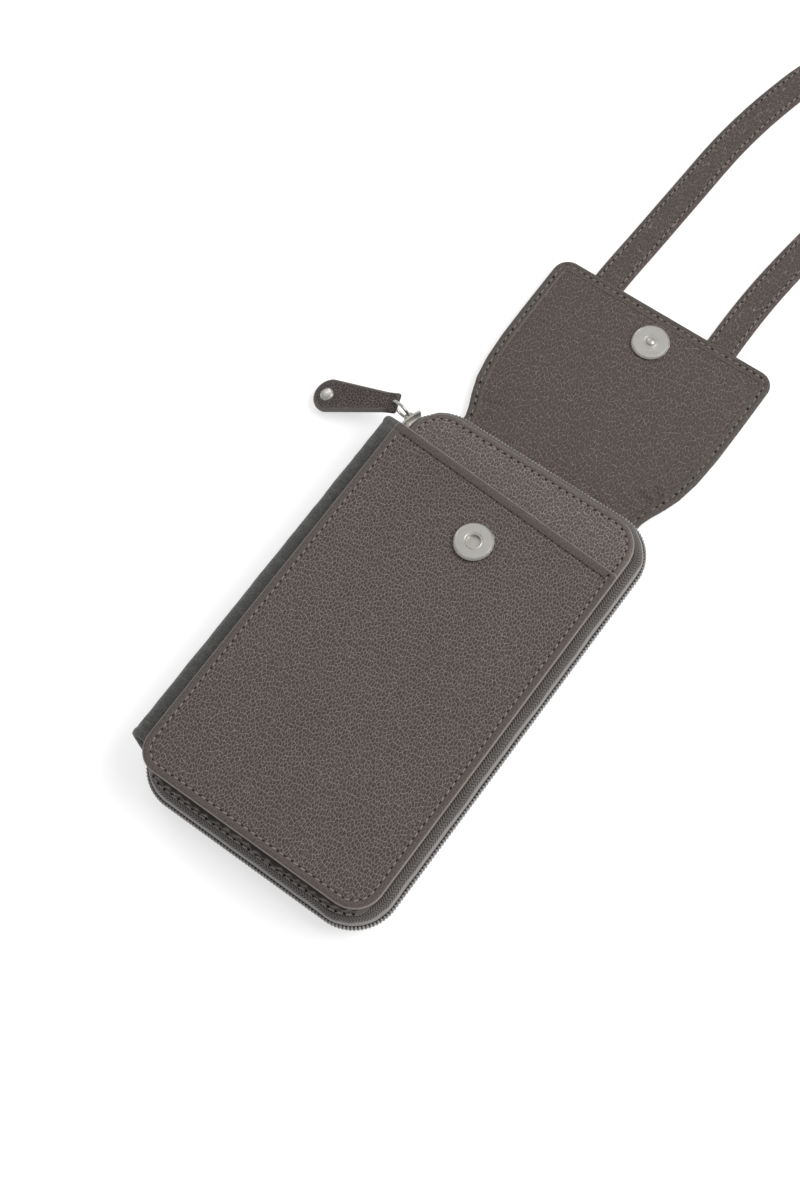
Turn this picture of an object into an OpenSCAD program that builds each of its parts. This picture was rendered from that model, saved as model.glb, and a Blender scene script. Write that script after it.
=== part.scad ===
// Zip-round pouch with a phone pocket on its front, a fold-over flap with a
// magnetic snap, and a long shoulder strap. Millimetres. The pouch lies on its
// back: +X to the right, +Y towards the flap, +Z up. The origin is the middle
// of the outer face of the back cover.

/* [Pouch] */
// width of each cover, without the spine and the zip
cover_w = 97; // [94:0.5:100]
// height of each cover
cover_h = 175; // [170:1:180]
// corner radius of the covers
corner_r = 13; // [12:0.5:14]
// thickness of the zipped part, from outer face to outer face
body_t = 21; // [20:0.5:23]

/* [Leather] */
// thickness of the cover leather
skin_t = 1.5; // [1.3:0.1:1.6]
// thickness of the stiff board in each cover
board_t = 1.2; // [1:0.1:1.3]
// thickness of the lining
lining_t = 0.6; // [0.4:0.1:0.7]

/* [Phone pocket] */
// width of the pocket panel
pocket_w = 101; // [99:0.5:102]
// height of the pocket mouth at the spine side
mouth_left = 158; // [154:0.5:160]
// height of the pocket mouth at the zip side
mouth_right = 152.3; // [150:0.5:158]
// clear depth of the pocket
pocket_gap = 7.6; // [7:0.1:9]
// thickness of the pocket panel
panel_t = 1.4; // [1.2:0.1:1.6]
// thickness of the gusset leather
gusset_t = 1.2; // [1:0.1:1.4]

/* [Snap] */
// diameter of the snap discs
snap_d = 15; // [14:0.5:16]
// height of the disc on the pocket
snap_h = 1.8; // [1.6:0.1:2.2]
// height of the disc on the flap
stud_plate_h = 1.2; // [1:0.1:1.4]
// distance of the pocket snap from the bottom edge
snap_y = 133.6; // [130:0.2:136]
// diameter of the stud
stud_d = 3.5; // [3.4:0.1:3.8]
// diameter of the hole that the stud enters
socket_d = 5.2; // [5:0.1:5.6]

/* [Flap] */
// width of the flap at its root
flap_root_w = 80; // [76:0.5:80]
// full width of the flap
flap_w = 98.4; // [96:0.2:99]
// thickness of the flap
flap_t = 2; // [1.8:0.1:2]
// distance from the snap to the free edge of the flap
flap_lip = 13.6; // [12:0.2:15]
// how far the flap leans back over the top of the pocket when shut
flap_lean = 58; // [56:1:60]

/* [Zip] */
// how far the zip bulges past the edge of the covers
zip_bulge = 5.2; // [5:0.1:5.4]
// thickness of the zip tape
tape_t = 0.8; // [0.6:0.1:0.9]
// position of the slider round the corner, in degrees
slider_at = 162.6; // [158:0.2:164]

/* [Pull] */
// length of the leather tab from its hole to its round end
tab_len = 34; // [30:1:36]
// width of the round end
tab_w = 14.6; // [13:0.2:15]
// width of the neck
tab_neck = 8.6; // [8:0.2:9]
// how far the tab droops from the ring, in degrees
tab_droop = 15.4; // [14:0.2:15.6]
// diameter of the rivet head
rivet_d = 5.6; // [5:0.2:6]

/* [Strap] */
// width of the strap
strap_w = 13; // [12:0.5:14]
// thickness of the strap
strap_t = 1.8; // [1.6:0.1:1.8]

/* [Hidden] */
$fn = 64;
e = 0.01;

leather = [0.36, 0.33, 0.31];
lining_c = [0.40, 0.35, 0.33];
board_c = [0.62, 0.58, 0.52];
tape_c = [0.38, 0.35, 0.34];
teeth_c = [0.24, 0.23, 0.23];
nickel = [0.72, 0.71, 0.68];

// stack of the covers
z_board = skin_t;
z_lining = skin_t + board_t;
z_in = skin_t + board_t + lining_t;
z_mid = body_t / 2;
half = cover_w / 2;
cx = half - corner_r;            // corner centres
cy0 = corner_r;
cy1 = cover_h - corner_r;

// pocket
z_panel = body_t + pocket_gap;
z_face = z_panel + panel_t;
snap_x = 0.8;

// spine
spine_x = -58.2;                 // middle plane of the spine leather
spine_y0 = 8;
spine_y1 = 161;

// flap folds: middle plane of the flap, lying flat
flap_z = 3.4;
h = flap_t / 2;
fold_a = cover_h + zip_bulge + 0.4 + h;
// the leaning part passes just over the top edge of the front cover
lean_run = (fold_a - cover_h - h * cos(flap_lean)) / sin(flap_lean);
bridge_top = body_t + 0.45 - lean_run * cos(flap_lean) + h * sin(flap_lean);
shut_z = z_face + snap_h + 0.05 + stud_plate_h + h;
bridge_len = bridge_top - flap_z;
slope_len = (shut_z - bridge_top) / cos(flap_lean);
front_len = fold_a - slope_len * sin(flap_lean) - snap_y;
fold_b = fold_a + bridge_len;
fold_c = fold_b + slope_len;
flap_snap_y = fold_c + front_len;
flap_end = flap_snap_y + flap_lip;

// strap routes: x, y, height of the middle, roll (0 flat, 90 on edge)
left_route = [[-27, 163.5, 2.4, 0], [-27, 169, 2.4, 0], [-27, 175.3, 2.4, 0], [-27, 178.4, 1.75, 0],
    [-27, 181.6, 1.2, 0], [-27, 186, 1, 0], [-27.2, 205, 1, 0], [-27.8, 235, 1, 0], [-28.2, 264, 1, 0],
    [-27, 289, 1, 0], [-25.7, 317, 1, 0], [-24.4, 342, 1, 0], [-21.6, 363, 1, 0], [-17, 384, 1, 0],
    [-13.5, 394, 2.4, 12], [-9, 404, 4.6, 35], [-4.5, 412, 6.3, 62], [1, 420.5, 6.7, 82], [6.5, 428, 6.8, 90]];
right_route = [[27, 163.5, 2.4, 0], [27, 169, 2.4, 0], [27, 175.3, 2.4, 0], [27, 178.4, 1.75, 0],
    [27, 181.6, 1.2, 0], [27, 186, 1, 0], [26.4, 205, 1, 0], [25, 235, 1, 0], [23.8, 264, 1, 0],
    [24.1, 290, 1, 0], [26.3, 315, 1, 0], [30, 342, 1, 0], [34.5, 368, 1, 0], [37.5, 384, 2.4, 12],
    [40.5, 398, 4.6, 35], [43.3, 412, 6.3, 62], [45.8, 426, 6.7, 82], [47.8, 441, 6.8, 90], [49.1, 456, 6.8, 90], [49.5, 468, 6.8, 90]];
coil_x = 4;
coil_y = 474;
coil_r = 44.4;

module at() { translate([0, -cover_h / 2, 0]) children(); }

function arc(x, y, r, a0, a1, n = 10) = [for (i = [0:n]) [x + r * cos(a0 + (a1 - a0) * i / n), y + r * sin(a0 + (a1 - a0) * i / n)]];

// cover outline, inset by d
function outline(d = 0, r = corner_r) = let (k = max(r - d, 1), x = half - d - k, y0 = d + k, y1 = cover_h - d - k)
    concat(arc(-x, y0, k, 180, 270), arc(x, y0, k, 270, 360), arc(x, y1, k, 0, 90), arc(-x, y1, k, 90, 180));

module slab(pts, z0, z1) { translate([0, 0, z0]) linear_extrude(height = z1 - z0) polygon(pts); }
module block(x0, x1, y0, y1, z0, z1) { translate([x0, y0, z0]) cube([x1 - x0, y1 - y0, z1 - z0]); }

// one strip carried round the three zipped sides; section is [distance out from a corner centre, z]
function ring_at(c, a, s) = [for (p = s) [c[0] + p[0] * cos(a), c[1] + p[0] * sin(a), p[1]]];
function zip_rings(s, a_end = 180) = concat(
    [for (i = [0:8]) ring_at([-cx, cy0], 180 + 90 * i / 8, s)],
    [for (i = [0:8]) ring_at([cx, cy0], 270 + 90 * i / 8, s)],
    [for (i = [0:8]) ring_at([cx, cy1], 90 * i / 8, s)],
    [for (i = [0:8]) ring_at([-cx, cy1], 90 + (a_end - 90) * i / 8, s)]);
module loft(rings) {
    n = len(rings[0]);
    m = len(rings);
    polyhedron(points = [for (r = rings) each r],
        faces = concat([[for (k = [0:n - 1]) k]], [[for (k = [n - 1:-1:0]) (m - 1) * n + k]],
            [for (i = [0:m - 2]) for (k = [0:n - 1]) for (f = k < n / 2
                ? [[i * n + k, (i + 1) * n + k, i * n + (k + 1) % n], [(i + 1) * n + k, (i + 1) * n + (k + 1) % n, i * n + (k + 1) % n]]
                : [[i * n + k, (i + 1) * n + k, (i + 1) * n + (k + 1) % n], [i * n + k, (i + 1) * n + (k + 1) % n, i * n + (k + 1) % n]]) f]),
        convexity = 8);
}
b = corner_r + zip_bulge;        // outermost distance of the zip
back_tape = [[10, z_in], [13.3, z_in], [b - 2.4, z_in + 1.6], [b - 0.8, z_in + 4.1], [b - 0.45, z_mid - 1.5],
    [b - 0.45 - tape_t, z_mid - 1.5], [b - 0.8 - tape_t, z_in + 4.3], [b - 3.1, z_in + 2.3], [13, z_in + tape_t], [10, z_in + tape_t]];
back_teeth = [[b - 1.3, z_mid - 1.5], [b - 0.25, z_mid - 1.5], [b, z_mid - 1.2], [b, z_mid - 0.5], [b - 0.25, z_mid - 0.3], [b - 1.3, z_mid - 0.3]];
function flip(s) = [for (i = [len(s) - 1:-1:0]) [s[i][0], body_t - s[i][1]]];

// ---- back half ----
module back_cover() { color(leather) at() { slab(outline(), 0, skin_t); block(-57.3, -half + 0.5, spine_y0, spine_y1, 0, skin_t); } }

module root_cut(z0, z1) { block(-flap_root_w / 2 - 0.2, flap_root_w / 2 + 0.2, 162.8, cover_h + 1, z0, z1); }
module back_board() { color(board_c) at() difference() { slab(outline(0.6), z_board, z_lining); root_cut(z_board - 1, z_lining + 1); } }
module back_lining() { color(lining_c) at() difference() { slab(outline(0.4), z_lining, z_in); root_cut(z_lining - 1, z_in + 1); } }

module card_slot(n) { color(lining_c) at() block(-43, 43, 12, 98 - 14 * n, z_in + 0.6 * n, z_in + 0.6 * n + 0.6); }
module card_slot_low() { card_slot(0); }
module card_slot_mid() { card_slot(1); }
module card_slot_top() { card_slot(2); }

module zip_tape_back() { color(tape_c) at() loft(zip_rings(back_tape)); }
module zip_teeth_back() { color(teeth_c) at() loft(zip_rings(back_teeth)); }
module zip_stops() {
    color(nickel) at() for (y = [cy0 + 0.2, cy1 - 1.6])
        block(-cx - b - 0.1, -cx - b + 1.5, y, y + 1.4, z_mid - 2.6, z_mid + 1.4);
}

// leather strip sewn between the back cover and the zip, from which the flap hangs
module flap_root() {
    color(leather) at() difference() {
        translate([-flap_root_w / 2, 0, 0]) rotate([90, 0, 90]) linear_extrude(height = flap_root_w)
            polygon([[163, skin_t], [cover_h - 0.5, skin_t], [cover_h + 1.5, flap_z - h], [fold_a - 0.15, flap_z - h],
                [fold_a - 0.15, flap_z], [fold_a - 0.15 - h, flap_z + h], [cover_h + 2.8, flap_z + h], [cover_h + 0.2, z_in - 0.05], [163, z_in - 0.05]]);
        for (x = [-27, 27]) translate([x - strap_w / 2 - 0.2, 0, 0]) rotate([90, 0, 90]) linear_extrude(height = strap_w + 0.4)
            polygon([[162, 1], [162, 3.8], [cover_h + 0.9, 3.8], [cover_h + 0.9, 3.4], [cover_h + 3, 2.9], [cover_h + 5.6, 2.36], [cover_h + 5.6, 1]]);
    }
}

// ---- spine ----
module spine() {
    color(leather) at() {
        block(spine_x - skin_t / 2, spine_x + skin_t / 2, spine_y0, spine_y1, skin_t / 2, body_t - skin_t / 2);
        for (z = [skin_t / 2, body_t - skin_t / 2]) translate([spine_x, spine_y0, z]) rotate([-90, 0, 0]) cylinder(d = skin_t, h = spine_y1 - spine_y0, $fn = 32);
    }
}
module spine_board() { color(board_c) at() block(spine_x + skin_t / 2, spine_x + skin_t / 2 + 0.9, spine_y0 + 2, spine_y1 - 2, 3.2, body_t - 3.2); }

// ---- front half ----
module front_cover() { color(leather) at() { slab(outline(), body_t - skin_t, body_t); block(-57.3, -half + 0.5, spine_y0, spine_y1, body_t - skin_t, body_t); } }
module front_board() { color(board_c) at() slab(outline(0.6), body_t - z_lining, body_t - z_board); }
module front_lining() { color(lining_c) at() slab(outline(0.4), body_t - z_in, body_t - z_lining); }
module bill_pocket() { color(lining_c) at() block(-43, 43, 12, 128, body_t - z_in - 0.6, body_t - z_in); }
module zip_tape_front() { color(tape_c) at() loft(zip_rings(flip(back_tape))); }
// the front row stops short of the slider at rest, where the two rows part
module zip_teeth_front() { color(teeth_c) at() loft(zip_rings(flip(back_teeth), 146)); }

// gathered leather between the cover and the pocket panel
gx = half - 0.2;
module gusset_wall(s, top) { color(leather) at() block(s < 0 ? -gx : gx - gusset_t, s < 0 ? -gx + gusset_t : gx, corner_r, top, body_t, z_panel); }
module gusset_left() { gusset_wall(-1, mouth_left - 1.2); }
module gusset_right() { gusset_wall(1, mouth_right - 1.2); }
module gusset_bottom() {
    k = corner_r - 0.6;
    color(leather) at() slab(concat(arc(-gx + k, 0.6 + k, k, 180, 270), arc(gx - k, 0.6 + k, k, 270, 360),
        arc(gx - k, 0.6 + k, k - gusset_t, 360, 270), arc(-gx + k, 0.6 + k, k - gusset_t, 270, 180)), body_t, z_panel);
}
module pocket_panel() {
    w = pocket_w / 2;
    color(leather) at() difference() {
        slab(concat(arc(-w + 10, 10, 10, 180, 270), arc(w - 11.5, 11.5, 11.5, 270, 360), [[w, mouth_right], [-w, mouth_left]]), z_panel, z_face);
        translate([snap_x, snap_y, z_panel - 1]) cylinder(r = 1.55, h = panel_t + 2, $fn = 32);
    }
}
module pocket_snap() {
    color(nickel) at() translate([snap_x, snap_y, 0]) difference() {
        union() {
            translate([0, 0, z_face]) rotate_extrude($fn = 72) polygon([[0, 0], [snap_d / 2, 0], [snap_d / 2, snap_h - 0.5], [snap_d / 2 - 0.5, snap_h], [0, snap_h]]);
            translate([0, 0, z_panel - 0.6]) cylinder(r = 1.5, h = panel_t + 0.8, $fn = 32);
        }
        translate([0, 0, z_face + snap_h - 1.25]) cylinder(d = socket_d, h = 2, $fn = 48);
    }
}
module pocket_snap_washer() {
    color(nickel) at() translate([snap_x, snap_y, z_panel - 0.6]) difference() {
        cylinder(r = 6, h = 0.6, $fn = 48);
        translate([0, 0, -1]) cylinder(r = 1.55, h = 3, $fn = 32);
    }
}

// ---- flap ----
function flap_side() = [[fold_a - 1, flap_root_w / 2], [184, flap_root_w / 2 + 0.2], [188, 41.6], [193, 43.9], [200, 46.4], [209, 48.1], [221, flap_w / 2 - 0.2],
    [236, flap_w / 2], [flap_end - 6.5, flap_w / 2]];
function flap_shape(d = 0) = let (s = flap_side(), n = len(s))
    concat([for (p = s) [p[1] - d, p[0]]], [for (i = [1:6]) [flap_w / 2 - 6.5 + (6.5 - d) * cos(15 * i), flap_end - 6.5 + (6.5 - d) * sin(15 * i)]],
        [for (i = [6:-1:1]) [-(flap_w / 2 - 6.5 + (6.5 - d) * cos(15 * i)), flap_end - 6.5 + (6.5 - d) * sin(15 * i)]],
        [for (i = [n - 1:-1:0]) [-s[i][1] + d, s[i][0]]]);
// side view of the flap between two folds; the inner side is bevelled so that it can fold by a0 and a1
module between(y0, a0, y1, a1, z0, z1) {
    g = 0.15;
    translate([-60, 0, 0]) rotate([90, 0, 90]) linear_extrude(height = 120) intersection() {
        polygon([[y0 + g, flap_z - h], [y1 - g, flap_z - h], [y1 - g, flap_z], [y1 - g - h * tan(a1 / 2), flap_z + h], [y0 + g + h * tan(a0 / 2), flap_z + h], [y0 + g, flap_z]]);
        translate([y0 - 1, z0]) square([y1 - y0 + 2, z1 - z0]);
    }
}
module flap_piece(y0, a0, y1, a1, z0, z1) { intersection() { slab(flap_shape(), z0 - 1, z1 + 1); between(y0, a0, y1, a1, z0, z1); } }
z_fl = flap_z + h - lining_t;    // where the flap lining begins
module flap_bridge_skin() { color(leather) at() flap_piece(fold_a, 90, fold_b, flap_lean, flap_z - h, z_fl); }
module flap_bridge_lining() { color(lining_c) at() flap_piece(fold_a, 90, fold_b, flap_lean, z_fl, flap_z + h); }
module flap_slope_skin() { color(leather) at() flap_piece(fold_b, flap_lean, fold_c, 90 - flap_lean, flap_z - h, z_fl); }
module flap_slope_lining() { color(lining_c) at() flap_piece(fold_b, flap_lean, fold_c, 90 - flap_lean, z_fl, flap_z + h); }
module stiff(d, z0, z1) { slab([[-38 - d, fold_c + 4 - d], [38 + d, fold_c + 4 - d], [38 + d, flap_end - 5 + d], [-38 - d, flap_end - 5 + d]], z0, z1); }
module flap_front_skin() {
    color(leather) at() difference() {
        flap_piece(fold_c, 90 - flap_lean, flap_end + 9, 0, flap_z - h, z_fl);
        stiff(0.05, z_fl - 0.6, z_fl + 1);
    }
}
module flap_front_lining() {
    color(lining_c) at() difference() {
        flap_piece(fold_c, 90 - flap_lean, flap_end + 9, 0, z_fl, flap_z + h);
        translate([snap_x, flap_snap_y, 0]) cylinder(r = 1.55, h = 9, $fn = 32);
    }
}
module flap_stiffener() {
    color(board_c) at() difference() {
        stiff(0, z_fl - 0.55, z_fl - 0.02);
        translate([snap_x, flap_snap_y, 0]) cylinder(r = 6.1, h = 9, $fn = 48);
    }
}
module flap_snap() {
    color(nickel) at() translate([snap_x, flap_snap_y, flap_z + h]) {
        rotate_extrude($fn = 72) polygon([[0, 0], [snap_d / 2, 0], [snap_d / 2, stud_plate_h - 0.4], [snap_d / 2 - 0.4, stud_plate_h], [stud_d / 2, stud_plate_h],
            [stud_d / 2, stud_plate_h + 0.12], [stud_d / 2 - 0.22, stud_plate_h + 0.45], [stud_d / 2 - 0.6, stud_plate_h + 0.7], [stud_d / 2 - 1.15, stud_plate_h + 0.85], [0, stud_plate_h + 0.88]]);
        translate([0, 0, -lining_t]) cylinder(r = 1.5, h = lining_t + 0.2, $fn = 32);
    }
}
module flap_snap_washer() { color(nickel) at() translate([snap_x, flap_snap_y, z_fl - 0.55]) cylinder(r = 6, h = 0.53, $fn = 48); }

// ---- zip slider and pull ----
function polar(r, a) = [-cx + r * cos(a), cy1 + r * sin(a)];
module slider_arc(r0, r1, z0, z1, a) {
    translate([-cx, cy1, 0]) rotate([0, 0, slider_at - a]) rotate_extrude(angle = 2 * a, $fn = 96) translate([r0, z0]) square([r1 - r0, z1 - z0]);
}
pull_z = z_mid + 1.5;
module zip_slider() {
    color(nickel) at() {
        slider_arc(b + 0.3, b + 1.2, z_mid - 3.6, z_mid + 3.6, 13);
        slider_arc(b - 3.3, b - 2.4, z_mid - 3.2, z_mid + 3.2, 13);
        slider_arc(b - 2.45, b + 0.35, z_mid - 0.2, z_mid + 0.2, 6);
        // eye for the ring
        translate(concat(polar(b + 1.5, slider_at), [pull_z])) rotate([0, 0, slider_at - 112]) rotate_extrude(angle = 224, $fn = 48) translate([1.75, 0]) circle(r = 0.45, $fn = 20);
    }
}
ring_r = 4.2;
ring_head = 171;
eye = polar(b + 2, slider_at);
tab_hole = [eye[0] + 2 * ring_r * cos(ring_head), eye[1] + 2 * ring_r * sin(ring_head)];
tab_head = 199;
module pull_ring() {
    color(nickel) at() translate([eye[0] + ring_r * cos(ring_head), eye[1] + ring_r * sin(ring_head), pull_z]) rotate([90, 0, ring_head])
        rotate_extrude($fn = 64) translate([ring_r, 0]) circle(r = 0.6, $fn = 20);
}
module on_tab() { translate(concat(tab_hole, [pull_z])) rotate([0, 0, tab_head]) rotate([0, tab_droop, 0]) children(); }
tab_t = 2;
rivet_s = tab_len - 5.8;
module pull_tab() {
    r = tab_w / 2;
    n = tab_neck / 2;
    color(leather) at() on_tab() difference() {
        translate([0, 0, -tab_t / 2]) linear_extrude(height = tab_t)
            polygon(concat([[-2.2, -n + 0.6], [-1.6, -n], [3, -n]], arc(tab_len - r, 0, r, -82, 82, 16), [[3, n], [-1.6, n], [-2.2, n - 0.6]]));
        translate([0, 0, -3]) cylinder(r = 1.45, h = 6, $fn = 32);
        translate([rivet_s, 0, -3]) cylinder(r = 1.3, h = 6, $fn = 32);
    }
}
module pull_rivet() {
    color(nickel) at() on_tab() translate([rivet_s, 0, 0]) {
        cylinder(r = 1.25, h = tab_t + 0.2, center = true, $fn = 32);
        for (s = [0, 180]) rotate([s, 0, 0]) translate([0, 0, tab_t / 2]) rotate_extrude($fn = 48)
            polygon([[0, 0], [rivet_d / 2, 0], [rivet_d / 2 - 0.15, 0.25], [rivet_d / 2 - 0.7, 0.6], [rivet_d / 2 - 1.5, 0.8], [0, 0.85]]);
    }
}

// ---- strap ----
function dir(p, i) = let (a = p[max(i - 1, 0)], c = p[min(i + 1, len(p) - 1)], d = [c[0] - a[0], c[1] - a[1], c[2] - a[2]]) d / norm(d);
function strap_ring(p, i) = let (t = dir(p, i), s = cross(t, [0, 0, 1]) / norm(cross(t, [0, 0, 1])), u = cross(s, t), r = p[i][3],
        wv = s * cos(r) + u * sin(r), tv = -s * sin(r) + u * cos(r), w = strap_w / 2, k = strap_t / 2, c = [p[i][0], p[i][1], p[i][2]])
    [for (q = [[-1, -0.4], [-0.96, -1], [0.96, -1], [1, -0.4], [1, 0.4], [0.96, 1], [-0.96, 1], [-1, 0.4]]) c + wv * w * q[0] + tv * k * q[1]];
module strap_run(p) { loft([for (i = [0:len(p) - 1]) strap_ring(p, i)]); }
module strap_left() { color(leather) at() strap_run(left_route); }
module strap_right() { color(leather) at() strap_run(right_route); }
module strap_coil() { color(leather) at() translate([coil_x, coil_y, 0]) rotate_extrude($fn = 96) translate([0, 0.1]) square([coil_r, 13.4]); }

back_cover();
back_board();
back_lining();
card_slot_low();
card_slot_mid();
card_slot_top();
zip_tape_back();
zip_teeth_back();
zip_stops();
flap_root();
spine();
spine_board();
front_cover();
front_board();
front_lining();
bill_pocket();
zip_tape_front();
zip_teeth_front();
gusset_left();
gusset_bottom();
gusset_right();
pocket_panel();
pocket_snap();
pocket_snap_washer();
flap_bridge_skin();
flap_bridge_lining();
flap_slope_skin();
flap_slope_lining();
flap_front_skin();
flap_front_lining();
flap_stiffener();
flap_snap();
flap_snap_washer();
zip_slider();
pull_ring();
pull_tab();
pull_rivet();
strap_left();
strap_right();
strap_coil();
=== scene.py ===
import math

import bmesh
import bpy
import numpy as np
from mathutils import Matrix, Vector


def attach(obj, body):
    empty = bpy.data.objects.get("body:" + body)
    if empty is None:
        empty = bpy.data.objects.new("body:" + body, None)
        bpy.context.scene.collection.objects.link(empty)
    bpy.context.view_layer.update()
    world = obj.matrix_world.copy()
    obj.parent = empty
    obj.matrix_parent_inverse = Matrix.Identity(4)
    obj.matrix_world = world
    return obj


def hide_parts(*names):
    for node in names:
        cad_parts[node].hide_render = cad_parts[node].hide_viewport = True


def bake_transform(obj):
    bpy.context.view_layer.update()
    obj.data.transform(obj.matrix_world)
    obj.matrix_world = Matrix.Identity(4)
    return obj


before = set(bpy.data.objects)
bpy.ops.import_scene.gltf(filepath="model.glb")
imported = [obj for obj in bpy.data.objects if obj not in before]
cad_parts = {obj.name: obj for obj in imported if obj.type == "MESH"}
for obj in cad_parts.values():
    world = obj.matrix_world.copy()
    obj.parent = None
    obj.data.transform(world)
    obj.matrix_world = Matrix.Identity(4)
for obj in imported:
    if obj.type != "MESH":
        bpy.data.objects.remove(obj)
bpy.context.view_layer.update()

# Lengths below are in millimetres in the pouch's own frame: x from the middle, y from the
# bottom edge of the covers, z up from the back cover's outer face.
H = 87.5


# ---------------------------------------------------------------- camera
cam_data = bpy.data.cameras.new("camera")
cam_data.sensor_fit = "VERTICAL"
cam_data.sensor_height = 36
cam_data.sensor_width = 24
cam_data.lens = 60
cam_data.clip_start = 0.01
cam_data.clip_end = 50
camera = bpy.data.objects.new("camera", cam_data)
bpy.context.scene.collection.objects.link(camera)
right, up, back = Vector((0.803326, 0.5916513, -0.0679416)), Vector((-0.5296362, 0.7619292, 0.372759)), Vector((0.27231, -0.2634627, 0.9254376))
turn = Matrix((right, up, back)).transposed().to_4x4()
camera.matrix_world = Matrix.Translation((0.1855369, -0.1739203, 0.6873063)) @ turn
bpy.context.scene.camera = camera

# ---------------------------------------------------------------- materials


def material(name):
    m = bpy.data.materials.new(name)
    m.use_nodes = True
    t = m.node_tree
    t.nodes.clear()

    def add(kind, props=None, **ins):
        n = t.nodes.new("ShaderNode" + kind)
        for k, v in (props or {}).items():
            setattr(n, k, v)
        for k, v in ins.items():
            s = n.inputs[int(k[1:])] if k[0] == "i" and k[1:].isdigit() else n.inputs[k.replace("_", " ")]
            if isinstance(v, bpy.types.NodeSocket):
                t.links.new(v, s)
            else:
                s.default_value = v
        return n

    return m, t, add


def maths(add, op, a, b=0.0, c=None):
    extra = {} if c is None else {"i2": c}
    return add("Math", {"operation": op}, i0=a, i1=b, **extra).outputs[0]


def ranged(add, v, a, b, lo, hi):
    n = add("MapRange", {"interpolation_type": "SMOOTHSTEP", "clamp": True})
    for k, x in zip(("Value", "From Min", "From Max", "To Min", "To Max"), (v, a, b, lo, hi)):
        if isinstance(x, bpy.types.NodeSocket):
            n.id_data.links.new(x, n.inputs[k])
        else:
            n.inputs[k].default_value = x
    return n.outputs["Result"]


def mix(add, f, a, b, mode="MIX"):
    n = add("Mix", {"data_type": "RGBA", "blend_type": mode})
    n.inputs[0].default_value = 0.5
    for s, v in ((n.inputs[0], f), (n.inputs[6], a), (n.inputs[7], b)):
        if isinstance(v, bpy.types.NodeSocket):
            n.id_data.links.new(v, s)
        else:
            s.default_value = v
    return n.outputs[2]


def rgba(c, k=1.0):
    return (c[0] * k, c[1] * k, c[2] * k, 1.0)


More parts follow.
